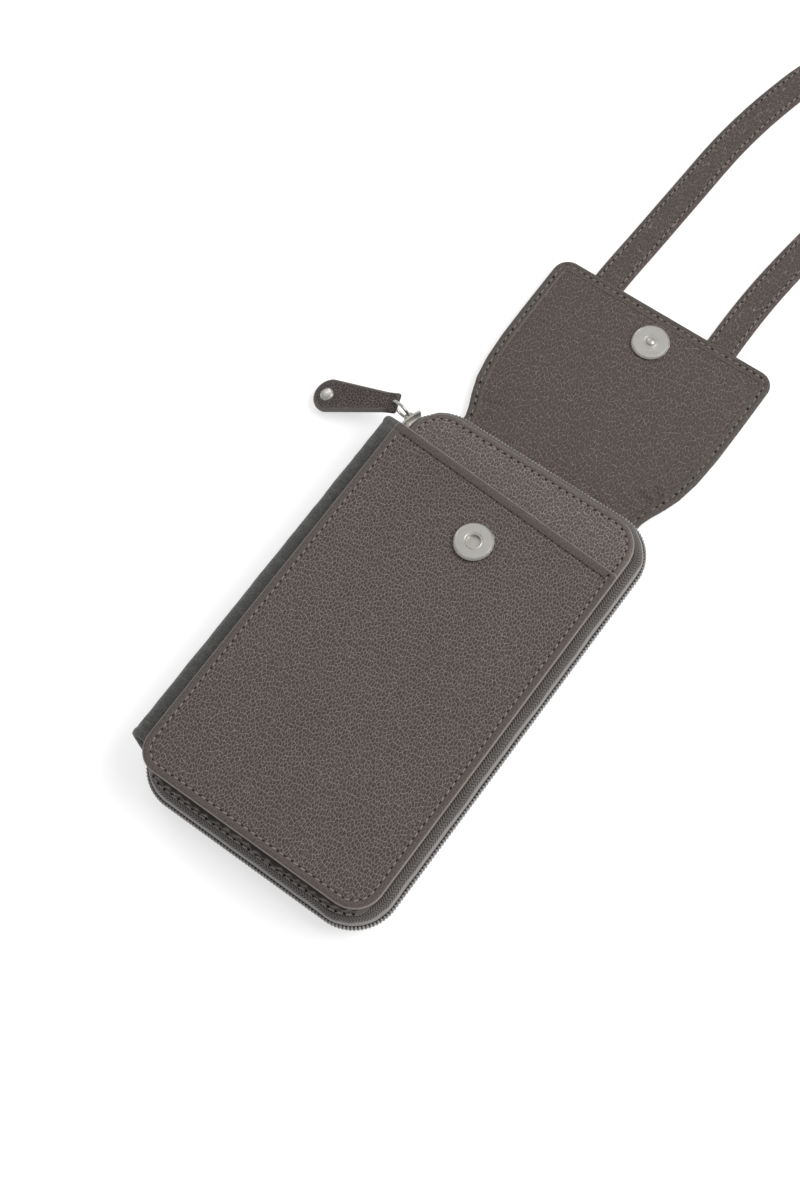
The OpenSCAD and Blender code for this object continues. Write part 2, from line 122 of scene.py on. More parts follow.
def leather(name, base, crease_and_highlight, cell=1.4, depth=0.17, rough=0.55, rim=None, rim_rough=0.45, wrinkle=0.0, stretch=(0.54, 1.24, 1), mottle=0.14, line=0.9, smooth=0.55, painted_edge_highlight=None, spec=0.28, rim_mix=0.55, thin=0.105, flat=False, even=0.3):
    """Pebbled leather: cells with fine creases between them. The creases are coloured lighter than the cells: partly
    the leather's own lighter creases, partly painted highlight on the ridges between the pebbles. The attribute rim is
    1 on a smoother turned rim;
    with an edge highlight colour given, it is 0.5 on the rim and 1 on a painted highlight line at the very edge."""
    m, t, add = material(name)
    p = add("VectorRotate", {"rotation_type": "Z_AXIS"}, Vector=add("TexCoord").outputs["Object"], Angle=math.radians(-98)).outputs[0]
    p = add("VectorMath", {"operation": "MULTIPLY"}, i0=p, i1=(1000 * stretch[0], 1000 * stretch[1], 1000 * stretch[2])).outputs[0]
    warp = add("TexNoise", Vector=p, Scale=0.7 / cell, Detail=3.0).outputs["Color"]
    warp = add("VectorMath", {"operation": "SUBTRACT"}, i0=warp, i1=(0.5, 0.5, 0.5)).outputs[0]
    q = add("VectorMath", {"operation": "MULTIPLY_ADD"}, i0=warp, i1=(0.45 * cell,) * 3, i2=p).outputs[0]
    kind = {"feature": "DISTANCE_TO_EDGE", "voronoi_dimensions": "2D" if flat else "3D"}
    v1 = add("TexVoronoi", kind, Vector=q, Scale=1 / cell).outputs["Distance"]
    v2 = add("TexVoronoi", kind, Vector=q, Scale=1.7 / cell).outputs["Distance"]
    fine = add("TexNoise", Vector=p, Scale=4.0, Detail=3.0, Roughness=0.6).outputs[0]
    big = add("TexNoise", Vector=p, Scale=0.03, Detail=4.0, Roughness=0.6).outputs[0]
    mid = add("TexNoise", Vector=p, Scale=1.0 / cell, Detail=2.0, Roughness=0.6).outputs[0]
    vary = ranged(add, mid, 0.40, 0.60, even, 1.0)
    c1 = ranged(add, v1, 0.01, thin, 1.0, 0.0)
    c2 = maths(add, "MULTIPLY", ranged(add, v2, 0.0, 0.08, 0.45, 0.0), ranged(add, mid, 0.42, 0.6, 1.0, 0.2))
    c = maths(add, "MAXIMUM", maths(add, "MULTIPLY", c1, vary), c2)
    dome = ranged(add, v1, 0.0, 0.45, 0.0, 1.0)
    rim_a = add("Attribute", {"attribute_name": "rim"}).outputs["Fac"]
    glint = None
    # painted highlight: the edge highlight colour is laid along the line where the rim attribute nears 1
    if painted_edge_highlight is not None:
        glint = ranged(add, rim_a, 0.62, 0.98, 0.0, 1.0)
        rim_a = ranged(add, rim_a, 0.04, 0.46, 0.0, 1.0)
    keep = maths(add, "SUBTRACT", 1.0, maths(add, "MULTIPLY", rim_a, smooth))
    h = maths(add, "SUBTRACT", maths(add, "MULTIPLY", dome, 0.6), maths(add, "MULTIPLY", c, 0.7))
    h = maths(add, "MULTIPLY", h, keep)
    h = maths(add, "MULTIPLY_ADD", fine, 0.10, h)
    c = maths(add, "MULTIPLY", c, maths(add, "MULTIPLY_ADD", keep, 0.75, 0.25))
    if wrinkle:
        w = add("TexNoise", {"noise_dimensions": "3D"}, Vector=add("VectorMath", {"operation": "MULTIPLY"}, i0=p, i1=(0.95, 0.26, 0.26)).outputs[0], Scale=0.4, Detail=6.0, Roughness=0.65, Distortion=0.5).outputs[0]
        w = maths(add, "ABSOLUTE", maths(add, "SUBTRACT", w, 0.5))
        w = ranged(add, w, 0.0, 0.06, 1.0, 0.0)
        h = maths(add, "SUBTRACT", h, maths(add, "MULTIPLY", w, wrinkle))
        c = maths(add, "MAXIMUM", c, maths(add, "MULTIPLY", w, 0.6))
    # the creases take the lighter crease colour: partly their own colour, partly painted highlight
    colour = mix(add, maths(add, "MULTIPLY", c, line), rgba(base), rgba(crease_and_highlight))
    shade = maths(add, "MULTIPLY_ADD", big, 2 * mottle, 1 - mottle)
    shade = maths(add, "MULTIPLY", shade, maths(add, "MULTIPLY_ADD", fine, 0.24, 0.88))
    colour = mix(add, 1.0, colour, add("CombineColor", i0=shade, i1=shade, i2=shade).outputs[0], "MULTIPLY")
    if rim is not None:
        colour = mix(add, maths(add, "MULTIPLY", rim_a, rim_mix), colour, rgba(rim))
    if glint is not None:
        colour = mix(add, maths(add, "MULTIPLY", glint, 0.8), colour, rgba(painted_edge_highlight))
    r = maths(add, "MULTIPLY_ADD", big, 0.16, rough - 0.08)
    r = maths(add, "MULTIPLY_ADD", rim_a, rim_rough - rough, r)
    bump = add("Bump", Strength=1.0, Distance=depth / 1000, Height=h)
    b = add("BsdfPrincipled", Base_Color=colour, Roughness=r, Normal=bump.outputs[0])
    b.inputs["Specular IOR Level"].default_value = spec
    b.inputs["Sheen Weight"].default_value = 0.06
    b.inputs["Sheen Roughness"].default_value = 0.5
    add("OutputMaterial", Surface=b.outputs[0])
    return m


def plain(name, base, rough, metallic=0.0, grain=0.0, grain_scale=3.0, depth=0.03, vary=0.12):
    m, t, add = material(name)
    p = add("VectorMath", {"operation": "MULTIPLY"}, i0=add("TexCoord").outputs["Object"], i1=(1000, 1000, 1000)).outputs[0]
    n = add("TexNoise", Vector=p, Scale=grain_scale, Detail=4.0, Roughness=0.6).outputs[0]
    k = maths(add, "MULTIPLY_ADD", n, 2 * vary, 1 - vary)
    colour = mix(add, 1.0, rgba(base), add("CombineColor", i0=k, i1=k, i2=k).outputs[0], "MULTIPLY")
    r = maths(add, "MULTIPLY_ADD", n, 0.16, rough - 0.08)
    b = add("BsdfPrincipled", Base_Color=colour, Roughness=r, Metallic=metallic)
    if grain:
        t.links.new(add("Bump", Strength=grain, Distance=depth / 1000, Height=n).outputs[0], b.inputs["Normal"])
    add("OutputMaterial", Surface=b.outputs[0])
    return m


def satin_metal(name, base, rough, centre=None, grooves=()):
    """Satin plating with faint scratches. grooves are (radius, width, depth) round centre, in millimetres."""
    m, t, add = material(name)
    p = add("VectorMath", {"operation": "MULTIPLY"}, i0=add("TexCoord").outputs["Object"], i1=(1000, 1000, 1000)).outputs[0]
    n = add("TexNoise", Vector=p, Scale=1.1, Detail=5.0, Roughness=0.7).outputs[0]
    s = add("TexNoise", Vector=add("VectorMath", {"operation": "MULTIPLY"}, i0=p, i1=(9.0, 0.7, 1.0)).outputs[0], Scale=1.6, Detail=3.0).outputs[0]
    scratch = ranged(add, maths(add, "ABSOLUTE", maths(add, "SUBTRACT", s, 0.5)), 0.0, 0.012, 1.0, 0.0)
    h = maths(add, "MULTIPLY_ADD", n, 0.05, maths(add, "MULTIPLY", scratch, -0.03))
    r = maths(add, "MULTIPLY_ADD", n, 0.16, rough - 0.08)
    if centre:
        x = add("SeparateXYZ", Vector=p)
        dx = maths(add, "SUBTRACT", x.outputs[0], centre[0])
        dy = maths(add, "SUBTRACT", x.outputs[1], centre[1] - H)
        rad = maths(add, "SQRT", maths(add, "ADD", maths(add, "MULTIPLY", dx, dx), maths(add, "MULTIPLY", dy, dy)))
        for gr, gw, gd in grooves:
            g = ranged(add, maths(add, "ABSOLUTE", maths(add, "SUBTRACT", rad, gr)), 0.0, gw, 1.0, 0.0)
            h = maths(add, "MULTIPLY_ADD", g, -gd, h)
        edge_shine = ranged(add, rad, 6.75, 6.9, 0.0, 1.0)
        r = maths(add, "MULTIPLY_ADD", edge_shine, -0.14, r)
    k = maths(add, "MULTIPLY_ADD", n, 0.16, 0.92)
    colour = mix(add, 1.0, rgba(base), add("CombineColor", i0=k, i1=k, i2=k).outputs[0], "MULTIPLY")
    b = add("BsdfPrincipled", Base_Color=colour, Roughness=r, Metallic=1.0, Normal=add("Bump", Strength=1.0, Distance=0.0006, Height=h).outputs[0])
    add("OutputMaterial", Surface=b.outputs[0])
    return m


def woven_tape(name, base, light):
    """Zip tape from the UV map in millimetres: herringbone rows along it, a lighter smooth band that is partly the
    tape's own smooth weave and partly painted highlight, and near-black painted shade beside the teeth.
    """
    m, t, add = material(name)
    uv = add("UVMap", {"uv_map": "mm"}).outputs[0]
    x = add("SeparateXYZ", Vector=uv)
    s, w = x.outputs[0], x.outputs[1]
    row = 1.5
    zig = maths(add, "PINGPONG", w, row)
    ph = maths(add, "ADD", s, maths(add, "MULTIPLY", zig, 0.8))
    rib = maths(add, "MULTIPLY_ADD", maths(add, "SINE", maths(add, "MULTIPLY", ph, 2 * math.pi / 1.2)), 0.5, 0.5)
    seam = ranged(add, maths(add, "ABSOLUTE", maths(add, "SUBTRACT", zig, row / 2)), row / 2 - 0.2, row / 2, 0.0, 1.0)
    body = ranged(add, w, TAPE_END - 3.35, TAPE_END - 3.1, 1.0, 0.0)
    h = maths(add, "MULTIPLY", maths(add, "SUBTRACT", rib, maths(add, "MULTIPLY", seam, 0.8)), body)
    # lighter band near the teeth: partly the tape's smooth weave, partly painted highlight
    band = ranged(add, maths(add, "ABSOLUTE", maths(add, "SUBTRACT", w, TAPE_END - 2.0)), 1.15, 1.35, 1.0, 0.0)
    # painted shade: near-black in the gap beside the teeth
    black = ranged(add, w, TAPE_END - 0.75, TAPE_END - 0.6, 0.0, 1.0)
    fine = add("TexNoise", Vector=add("VectorMath", {"operation": "MULTIPLY"}, i0=uv, i1=(1.0, 1.0, 1.0)).outputs[0], Scale=4.0, Detail=3.0).outputs[0]
    h = maths(add, "MULTIPLY_ADD", band, 0.8, h)
    h = maths(add, "MULTIPLY_ADD", black, -1.2, h)
    h = maths(add, "MULTIPLY_ADD", fine, 0.25, h)
    weave = maths(add, "MULTIPLY_ADD", rib, 1.15, 0.30)
    weave = maths(add, "MULTIPLY", weave, maths(add, "MULTIPLY_ADD", seam, -0.35, 1.0))
    k = maths(add, "MULTIPLY", weave, maths(add, "MULTIPLY_ADD", fine, 0.7, 0.62))
    colour = mix(add, 1.0, rgba(base), add("CombineColor", i0=k, i1=k, i2=k).outputs[0], "MULTIPLY")
    kb = maths(add, "MULTIPLY_ADD", fine, 0.3, 0.85)
    light = mix(add, 1.0, rgba(light), add("CombineColor", i0=kb, i1=kb, i2=kb).outputs[0], "MULTIPLY")
    colour = mix(add, band, colour, light)
    colour = mix(add, black, colour, (0.012, 0.011, 0.011, 1.0))
    b = add("BsdfPrincipled", Base_Color=colour, Roughness=0.8, Normal=add("Bump", Strength=1.0, Distance=0.0003, Height=h).outputs[0])
    b.inputs["Sheen Weight"].default_value = 0.2
    add("OutputMaterial", Surface=b.outputs[0])
    return m


TAPE_END = 10.7
# the crease colour is much lighter than the cells: partly the creases' own colour, partly painted highlight on the
# pebbles' ridges
TAUPE, CREASE_AND_HIGHLIGHT = (0.0553, 0.0432, 0.0396), (0.298, 0.244, 0.225)
RIM, GLINT = (0.088, 0.073, 0.067), (0.26, 0.226, 0.207)
M_COVER = leather("cover_leather_look", TAUPE, CREASE_AND_HIGHLIGHT, cell=1.2, thin=0.155, flat=True, even=0.5, stretch=(0.64, 1.2, 1), rim=RIM, rim_rough=0.5, painted_edge_highlight=GLINT)
M_FRONT = leather("front_cover_look", (0.084, 0.0668, 0.0617), (0.372, 0.312, 0.290), cell=1.25, thin=0.155, flat=True, even=0.45, stretch=(0.64, 1.2, 1), rim=(0.108, 0.090, 0.083), rim_rough=0.5, painted_edge_highlight=GLINT)
# gusset leather: its base is darker than the cover leather, partly its own colour, partly painted shade under the
# overhanging panel; its rim colour marks a painted highlight on the foot's rounded lip
M_GUSSET = leather("gusset_leather_look", (0.044, 0.035, 0.031), (0.105, 0.089, 0.081), cell=1.1, depth=0.12, rim=(0.17, 0.148, 0.136), rim_mix=0.8, stretch=(1, 1, 1))
# near-black material: painted shade in the fold under the pocket panel
M_PAINTED_SHADE = plain("gusset_painted_shade_look", (0.018, 0.014, 0.012), 0.85)
M_SPINE = leather("spine_leather_look", (0.076, 0.0765, 0.073), (0.235, 0.235, 0.224), cell=1.1, depth=0.14, rough=0.45, wrinkle=1.0, rim=(0.150, 0.146, 0.138), rim_mix=0.8, stretch=(1, 1, 1), line=0.6)
M_PULL = leather("pull_leather_look", (0.040, 0.033, 0.030), (0.260, 0.210, 0.200), cell=1.25, thin=0.15, flat=True, depth=0.10, rough=0.6, rim=(0.150, 0.138, 0.130), rim_mix=0.8, rim_rough=0.4, mottle=0.22, stretch=(1, 1, 1), line=0.8, spec=0.2)
M_STRAP = leather("strap_leather_look", (0.060, 0.048, 0.0435), (0.215, 0.180, 0.165), cell=1.25, depth=0.16, rim=(0.085, 0.048, 0.040), rim_mix=0.8, rim_rough=0.38)
M_FLAP = leather("flap_lining_look", (0.0625, 0.0475, 0.0418), (0.300, 0.244, 0.222), cell=1.32, even=0.25, thin=0.11, flat=True, depth=0.16, rim=(0.083, 0.074, 0.065), rim_mix=0.5, rim_rough=0.55, smooth=0.0, line=0.85, painted_edge_highlight=(0.190, 0.166, 0.150))
M_INNER = leather("inner_lining_look", (0.090, 0.071, 0.063), (0.13, 0.108, 0.098), cell=0.7, depth=0.05, rough=0.58, rim=(0.13, 0.108, 0.098), stretch=(1, 1, 1), line=0.5)
M_THREAD = plain("thread_look", (0.265, 0.231, 0.213), 0.75, grain=0.6, grain_scale=7.0, depth=0.05)
M_THREAD_FLAP = plain("thread_flap_look", (0.225, 0.200, 0.181), 0.75, grain=0.6, grain_scale=7.0, depth=0.05)
M_THREAD_DARK = plain("thread_brown_look", (0.050, 0.030, 0.026), 0.75, grain=0.6, grain_scale=7.0, depth=0.05)
# near-black: painted shade in the stitch holes
M_HOLE_SHADE = plain("stitch_hole_painted_shade_look", (0.006, 0.005, 0.005), 0.95)
M_TAPE = woven_tape("zip_tape_look", (0.098, 0.083, 0.076), (0.225, 0.212, 0.203))
M_COIL = plain("zip_coil_look", (0.260, 0.252, 0.245), 0.25, grain=0.3, grain_scale=2.0)
# near-black core: painted shade seen between the teeth
M_CORE_SHADE = plain("zip_core_painted_shade_look", (0.010, 0.009, 0.009), 0.9)
NICKEL = (0.53, 0.515, 0.48)
M_NICKEL = satin_metal("nickel_look", NICKEL, 0.30)
M_SNAP_A = satin_metal("nickel_socket_look", NICKEL, 0.38, (0.8, 133.6), ((3.25, 0.28, 0.25), (6.75, 0.14, 0.16)))
M_SNAP_B = satin_metal("nickel_stud_look", NICKEL, 0.38, (0.8, 249.16), ((2.6, 0.2, 0.16), (6.75, 0.14, 0.16)))

# ---------------------------------------------------------------- mesh helpers


def mesh(name, verts, faces, mats, rim=None, uv=None, face_mat=None, merge=False, turn_out=True):
    v = (np.asarray(verts, float) - (0, H, 0)) / 1000
    me = bpy.data.meshes.new(name)
    me.from_pydata(v.tolist(), [], [tuple(int(i) for i in f) for f in faces])
    me.update()
    if rim is not None:
        me.attributes.new("rim", "FLOAT", "POINT").data.foreach_set("value", np.clip(rim, 0, 1).astype(np.float32))
    if uv is not None:
        layer = me.uv_layers.new(name="mm")
        idx = np.empty(len(me.loops), np.int32)
        me.loops.foreach_get("vertex_index", idx)
        layer.data.foreach_set("uv", np.asarray(uv, np.float32)[idx].ravel())
    mats = [mats] if isinstance(mats, bpy.types.Material) else list(mats)
    for m in mats:
        me.materials.append(m)
    if face_mat is not None:
        me.polygons.foreach_set("material_index", np.asarray(face_mat, np.int32))
    me.polygons.foreach_set("use_smooth", [True] * len(me.polygons))
    if merge:
        bm = bmesh.new()
        bm.from_mesh(me)
        bmesh.ops.remove_doubles(bm, verts=bm.verts, dist=4e-6)
        bmesh.ops.dissolve_degenerate(bm, edges=bm.edges, dist=1e-7)
        if turn_out:
            bmesh.ops.recalc_face_normals(bm, faces=bm.faces)
        bm.to_mesh(me)
        bm.free()
    obj = bpy.data.objects.new(name, me)
    bpy.context.scene.collection.objects.link(obj)
    return obj


def near(P, L, closed=True):
    """Distance from each point to a line of points, and how far along the line its nearest point is."""
    A = L if closed else L[:-1]
    B = np.roll(L, -1, 0) if closed else L[1:]
    ab = B - A
    ln = np.hypot(ab[:, 0], ab[:, 1])
    ok = ln > 1e-9
    A, ab, ln = A[ok], ab[ok], ln[ok]
    start = np.concatenate([[0], np.cumsum(ln)[:-1]])
    d, s = np.empty(len(P)), np.empty(len(P))
    for i in range(0, len(P), 2000):
        p = P[i : i + 2000]
        r = p[:, None, :] - A[None]
        t = np.clip((r * ab[None]).sum(-1) / (ln**2)[None], 0, 1)
        q = np.hypot(r[..., 0] - t * ab[None, :, 0], r[..., 1] - t * ab[None, :, 1])
        k = q.argmin(1)
        j = np.arange(len(p))
        d[i : i + 2000] = q[j, k]
        s[i : i + 2000] = start[k] + t[j, k] * ln[k]
    return d, s


def lines(width, ds, step):
    n = max(1, round((width - 2 * ds[-1]) / step))
    return np.array(list(ds[:-1]) + list(np.linspace(ds[-1], width - ds[-1], n + 1)) + [width - x for x in ds[:-1]][::-1])


def edge(d, r):
    q = np.clip(np.asarray(d) / r, 0, 1)
    return r * (1 - np.sqrt(np.clip(1 - (1 - q) ** 2, 0, 1)))


def bell(d, at, w):
    return np.exp(-(((d - at) / w) ** 2))


def step01(x, a, b):
    q = np.clip((x - a) / (b - a), 0, 1)
    return q * q * (3 - 2 * q)


class Waves:
    """A smooth random field: a sum of sine waves."""

    def __init__(self, seed, length, n=9, spread=0.5):
        r = np.random.default_rng(seed)
        a = r.uniform(0, 2 * math.pi, n)
        k = 2 * math.pi / (length * r.uniform(1 - spread, 1 + spread, n))
        self.k = np.stack([k * np.cos(a), k * np.sin(a)], 1)
        self.p = r.uniform(0, 2 * math.pi, n)
        self.n = n

    def __call__(self, x, y):
        x, y = np.asarray(x, float), np.asarray(y, float)
        return sum(np.sin(self.k[i, 0] * x + self.k[i, 1] * y + self.p[i]) for i in range(self.n)) / math.sqrt(self.n)


def turned(d, w=2.75, edge_w=0.75):
    """The attribute rim of a turned edge: 0.5 across the rim and up to 1 at its outer line, where the materials lay a
    painted highlight.
    """
    return 0.5 * (1 - step01(d, w - 0.35, w + 0.15)) + 0.5 * (1 - step01(d, 0.15, edge_w))


EDGE = [0, 0.06, 0.2, 0.45, 0.8, 1.2, 1.7, 2.1, 2.4, 2.65, 2.9, 3.2, 3.7, 4.3, 5.2, 6.6, 8.6]
PANEL_EDGE = [0, 0.06, 0.2, 0.45, 0.8, 1.2, 1.7, 2.1, 2.5, 2.75, 3.0, 3.25, 3.5, 3.7, 3.95, 4.3, 5.2, 6.6, 8.6]


def skin(name, L, R, ys, outline, top, bot, mats, ds=EDGE, step=3.0, closed=True, warp=None, post=None, rim=None, wmax=None, cuts=()):
    ys = np.asarray(ys, float)
    wmax = wmax or max(R(y) - L(y) for y in ys)
    u = lines(wmax, ds, step) / wmax
    X = np.array([[L(y) + (R(y) - L(y)) * k for k in u] for y in ys])
    n, m = X.shape
    P = np.stack([X, np.repeat(ys[:, None], m, 1)], -1).reshape(-1, 2)
    O = np.asarray(outline, float)
    if warp:
        P, O = warp(P), warp(O)
    d, s = near(P, O, closed)
    V = np.concatenate([np.c_[P, top(P[:, 0], P[:, 1], d, s)], np.c_[P, bot(P[:, 0], P[:, 1], d, s)]])
    g = np.arange(n * m).reshape(n, m)
    b = n * m
    F = []
    for i in range(n - 1):
        for j in range(m - 1):
            q = (g[i, j], g[i, j + 1], g[i + 1, j + 1], g[i + 1, j])
            F.append(q)
            F.append(tuple(x + b for x in q[::-1]))
    for i, flip in ((0, False), (n - 1, True)):
        if any(abs(ys[i] - y) < 0.02 for y in cuts):
            continue  # it goes on into the next piece here
        for j in range(m - 1):
            q = (g[i, j], g[i, j] + b, g[i, j + 1] + b, g[i, j + 1])
            F.append(q[::-1] if flip else q)
    for j, flip in ((0, True), (m - 1, False)):
        for i in range(n - 1):
            q = (g[i, j], g[i, j] + b, g[i + 1, j] + b, g[i + 1, j])
            F.append(q[::-1] if flip else q)
    r = None if rim is None else np.concatenate([rim(P[:, 0], P[:, 1], d, s, True), rim(P[:, 0], P[:, 1], d, s, False)])
    if post:
        V = post(V)
    return mesh(name, V, F, mats, rim=r, merge=True, turn_out=not cuts)


def arc(cx, cy, r, a0, a1, n=14):
    a = np.radians(np.linspace(a0, a1, n + 1))
    return np.stack([cx + r * np.cos(a), cy + r * np.sin(a)], 1)


def box_outline(x0, x1, y0, y1, bl, br, tr, tl, d=0.0):
    """Rectangle with rounded corners, moved in by d, anticlockwise from the left end of its bottom edge."""
    parts = []
    for cx, cy, r, a in ((x0, y0, bl, 180), (x1, y0, br, 270), (x1, y1, tr, 0), (x0, y1, tl, 90)):
        sx, sy = (1 if cx == x0 else -1), (1 if cy == y0 else -1)
        k = max(r - d, 0.05)
        m = max(r, d + 0.05)
        parts.append(arc(cx + sx * m, cy + sy * m, k, a, a + 90))
    return np.concatenate(parts)


def box_sides(x0, x1, y0, y1, bl, br, tr, tl):
    def side(y, rb, rt):
        if rb and y < y0 + rb:
            return rb - math.sqrt(max(rb * rb - (y0 + rb - y) ** 2, 0))
        if rt and y > y1 - rt:
            return rt - math.sqrt(max(rt * rt - (y - y1 + rt) ** 2, 0))
        return 0.0

    return (lambda y: x0 + side(y, bl, tl)), (lambda y: x1 - side(y, br, tr))


def resample(P, gap, closed=False, begin=0.0):
    P = np.asarray(P, float)
    if closed:
        P = np.concatenate([P, P[:1]])
    ln = np.linalg.norm(np.diff(P[:, :3], axis=0), axis=1)
    s = np.concatenate([[0], np.cumsum(ln)])
    n = max(1, int(round((s[-1] - begin) / gap)))
    at = begin + (s[-1] - begin) * (np.arange(n) + (0 if closed else 0.5)) / n
    out = np.stack([np.interp(at, s, P[:, i]) for i in range(P.shape[1])], 1)
    e = 0.4
    ahead = np.stack([np.interp(np.minimum(at + e, s[-1]), s, P[:, i]) for i in range(3)], 1)
    behind = np.stack([np.interp(np.maximum(at - e, 0), s, P[:, i]) for i in range(3)], 1)
    t = ahead - behind
    t /= np.linalg.norm(t, axis=1)[:, None] + 1e-12
    return out, t, s[-1] / n


def stitches(name, runs, mats=None, pitch=3.1, long=0.70, wide=0.50, high=0.34, holes=True, lift=0.09, seed=3, slant=6.0, hole=(0.58, 0.46), hole_up=0.10):
    """runs: (points with normals as rows of six numbers, closed). One thread bead for each stitch and, between, a flat
    near-black disc: painted shade for the hole.
    """
    r = np.random.default_rng(seed)
    V, F, FM = [], [], []
    for P, closed in runs:
        C, T, gap = resample(P, pitch, closed)
        for c, t in zip(C, T):
            nrm = c[3:6] / (np.linalg.norm(c[3:6]) + 1e-12)
            side = np.cross(nrm, t)
            side /= np.linalg.norm(side) + 1e-12
            a = math.radians(slant + r.normal(0, 2.5))
            tt = t * math.cos(a) + side * math.sin(a)
            ss = np.cross(nrm, tt)
            half = gap * long / 2 * r.uniform(0.94, 1.04)
            o = c[:3] + nrm * (lift + r.normal(0, 0.015)) + side * r.normal(0, 0.03)
            base = len(V)
            V.append(o - tt * half - nrm * high * 0.5)
            for f, k in ((-0.72, 0.8), (0.0, 1.0), (0.72, 0.8)):
                for q in range(6):
                    w = math.pi * 2 * q / 6
                    V.append(o + tt * half * f + ss * math.cos(w) * wide / 2 * k + nrm * (math.sin(w) * high / 2 * k - (0.06 if f else 0)))
            V.append(o + tt * half - nrm * high * 0.5)
            for q in range(6):
                z = (q + 1) % 6
                F.append((base, base + 1 + z, base + 1 + q))
                F.append((base + 19, base + 13 + q, base + 13 + z))
                for row in (0, 1):
                    x = base + 1 + 6 * row
                    F.append((x + q, x + z, x + 6 + z, x + 6 + q))
            FM += [0] * 24
            # painted shade: a flat near-black disc lifted just above the surface stands for each hole
            if holes:
                hc = c[:3] + t * gap / 2 + nrm * hole_up
                b2 = len(V)
                for q in range(7):
                    w = math.pi * 2 * q / 7
                    V.append(hc + t * math.cos(w) * hole[0] + side * math.sin(w) * hole[1])
                F.append(tuple(range(b2, b2 + 7)))
                FM.append(1)
    return mesh(name, V, F, mats or (M_THREAD, M_HOLE_SHADE), face_mat=FM)


def flat_run(xy, zfun, closed=False, gap=1.0, nz=1.0):
    """A line on a face, as stitches() wants it."""
    P, _, _ = resample(np.c_[np.asarray(xy, float), np.zeros(len(xy))], gap, closed)
    z = zfun(P[:, 0], P[:, 1])
    return np.c_[P[:, 0], P[:, 1], z, np.zeros(len(P)), np.zeros(len(P)), np.full(len(P), nz)], closed


def strip(name, A, B, mats, rim=None, uv=None, closed_ends=True):
    """Two grids of points, an outer and an inner face (rows, columns, 3), closed at their borders."""
    n, m, _ = A.shape
    V = np.concatenate([A.reshape(-1, 3), B.reshape(-1, 3)])
    g = np.arange(n * m).reshape(n, m)
    b = n * m
    F = []
    for i in range(n - 1):
        for j in range(m - 1):
            q = (g[i, j], g[i, j + 1], g[i + 1, j + 1], g[i + 1, j])
            F.append(q)
            F.append(tuple(x + b for x in q[::-1]))
    for j, flip in ((0, True), (m - 1, False)):
        for i in range(n - 1):
            q = (g[i, j], g[i, j] + b, g[i + 1, j] + b, g[i + 1, j])
            F.append(q[::-1] if flip else q)
    if closed_ends:
        for i, flip in ((0, False), (n - 1, True)):
            for j in range(m - 1):
                q = (g[i, j], g[i, j] + b, g[i, j + 1] + b, g[i, j + 1])
                F.append(q[::-1] if flip else q)
    return mesh(name, V, F, mats, rim=rim, uv=uv, merge=True)


def smooth_line(P, per=6):
    """Catmull-Rom through the points."""
    P = np.asarray(P, float)
    Q = np.concatenate([2 * P[:1] - P[1:2], P, 2 * P[-1:] - P[-2:-1]])
    out = []
    for i in range(1, len(Q) - 2):
        a, b, c, d = Q[i - 1], Q[i], Q[i + 1], Q[i + 2]
        for k in range(per):
            t = k / per
            out.append(0.5 * (2 * b + (c - a) * t + (2 * a - 5 * b + 4 * c - d) * t * t + (3 * b - a - 3 * c + d) * t**3))
    out.append(P[-1])
    return np.array(out)


# ---------------------------------------------------------------- strap: one strip from the pouch, round its coil and back
left_route = [(-27, 163.5, 2.4, 0), (-27, 169, 2.4, 0), (-27, 175.3, 2.4, 0), (-27, 178.4, 1.75, 0), (-27, 181.6, 1.2, 0), (-27, 186, 1, 0), (-27.2, 205, 1, 0),
    (-27.8, 235, 1, 0), (-28.2, 264, 1, 0), (-27, 289, 1, 0), (-25.7, 317, 1, 0), (-24.4, 342, 1, 0), (-21.6, 363, 1, 0), (-17, 384, 1, 0), (-13.5, 394, 2.4, 12),
    (-9, 404, 4.6, 35), (-4.5, 412, 6.3, 62), (1, 420.5, 6.8, 82), (6.5, 428, 6.9, 90)]
right_route = [(27, 163.5, 2.4, 0), (27, 169, 2.4, 0), (27, 175.3, 2.4, 0), (27, 178.4, 1.75, 0), (27, 181.6, 1.2, 0), (27, 186, 1, 0), (26.4, 205, 1, 0),
    (25, 235, 1, 0), (23.8, 264, 1, 0), (24.1, 290, 1, 0), (26.3, 315, 1, 0), (30, 342, 1, 0), (34.5, 368, 1, 0), (37.5, 384, 2.4, 12), (40.5, 398, 4.6, 35),
    (43.3, 412, 6.3, 62), (45.8, 426, 6.8, 82), (47.6, 441, 6.9, 90), (48.2, 455, 6.9, 90)]
coil = []
for k in range(0, 433, 12):
    a = math.radians(-75 + k)
    r = 40 - 10 * k / 360
    coil.append((4 + r * math.cos(a), 474 + r * math.sin(a), 6.9, 90))
a_in = -75 + 432
for k in range(15, 180, 15):
    a = math.radians(a_in + k)
    coil.append((4 + 14 * math.cos(math.radians(a_in)) + 14 * math.cos(a), 474 + 14 * math.sin(math.radians(a_in)) + 14 * math.sin(a), 6.9, 90))
coil.append((4, 474, 6.9, 90))
for k in range(15, 180, 15):
    a = math.radians(a_in - k)
    coil.append((4 - 14 * math.cos(math.radians(a_in)) + 14 * math.cos(a), 474 - 14 * math.sin(math.radians(a_in)) + 14 * math.sin(a), 6.9, 90))
for k in range(0, 548, 12):
    a = math.radians(177 - k)
    r = 28 + 16.1 * k / 547
    coil.append((4 + r * math.cos(a), 474 + r * math.sin(a), 6.9, 90))
route = [p for p in left_route] + [p for p in coil] + [p for p in right_route[::-1]]
line = smooth_line(np.array(route), 4)
strap_pts, strap_dir, _ = resample(line, 3.0)
strap_pts = np.concatenate([line[:1], strap_pts, line[-1:]])
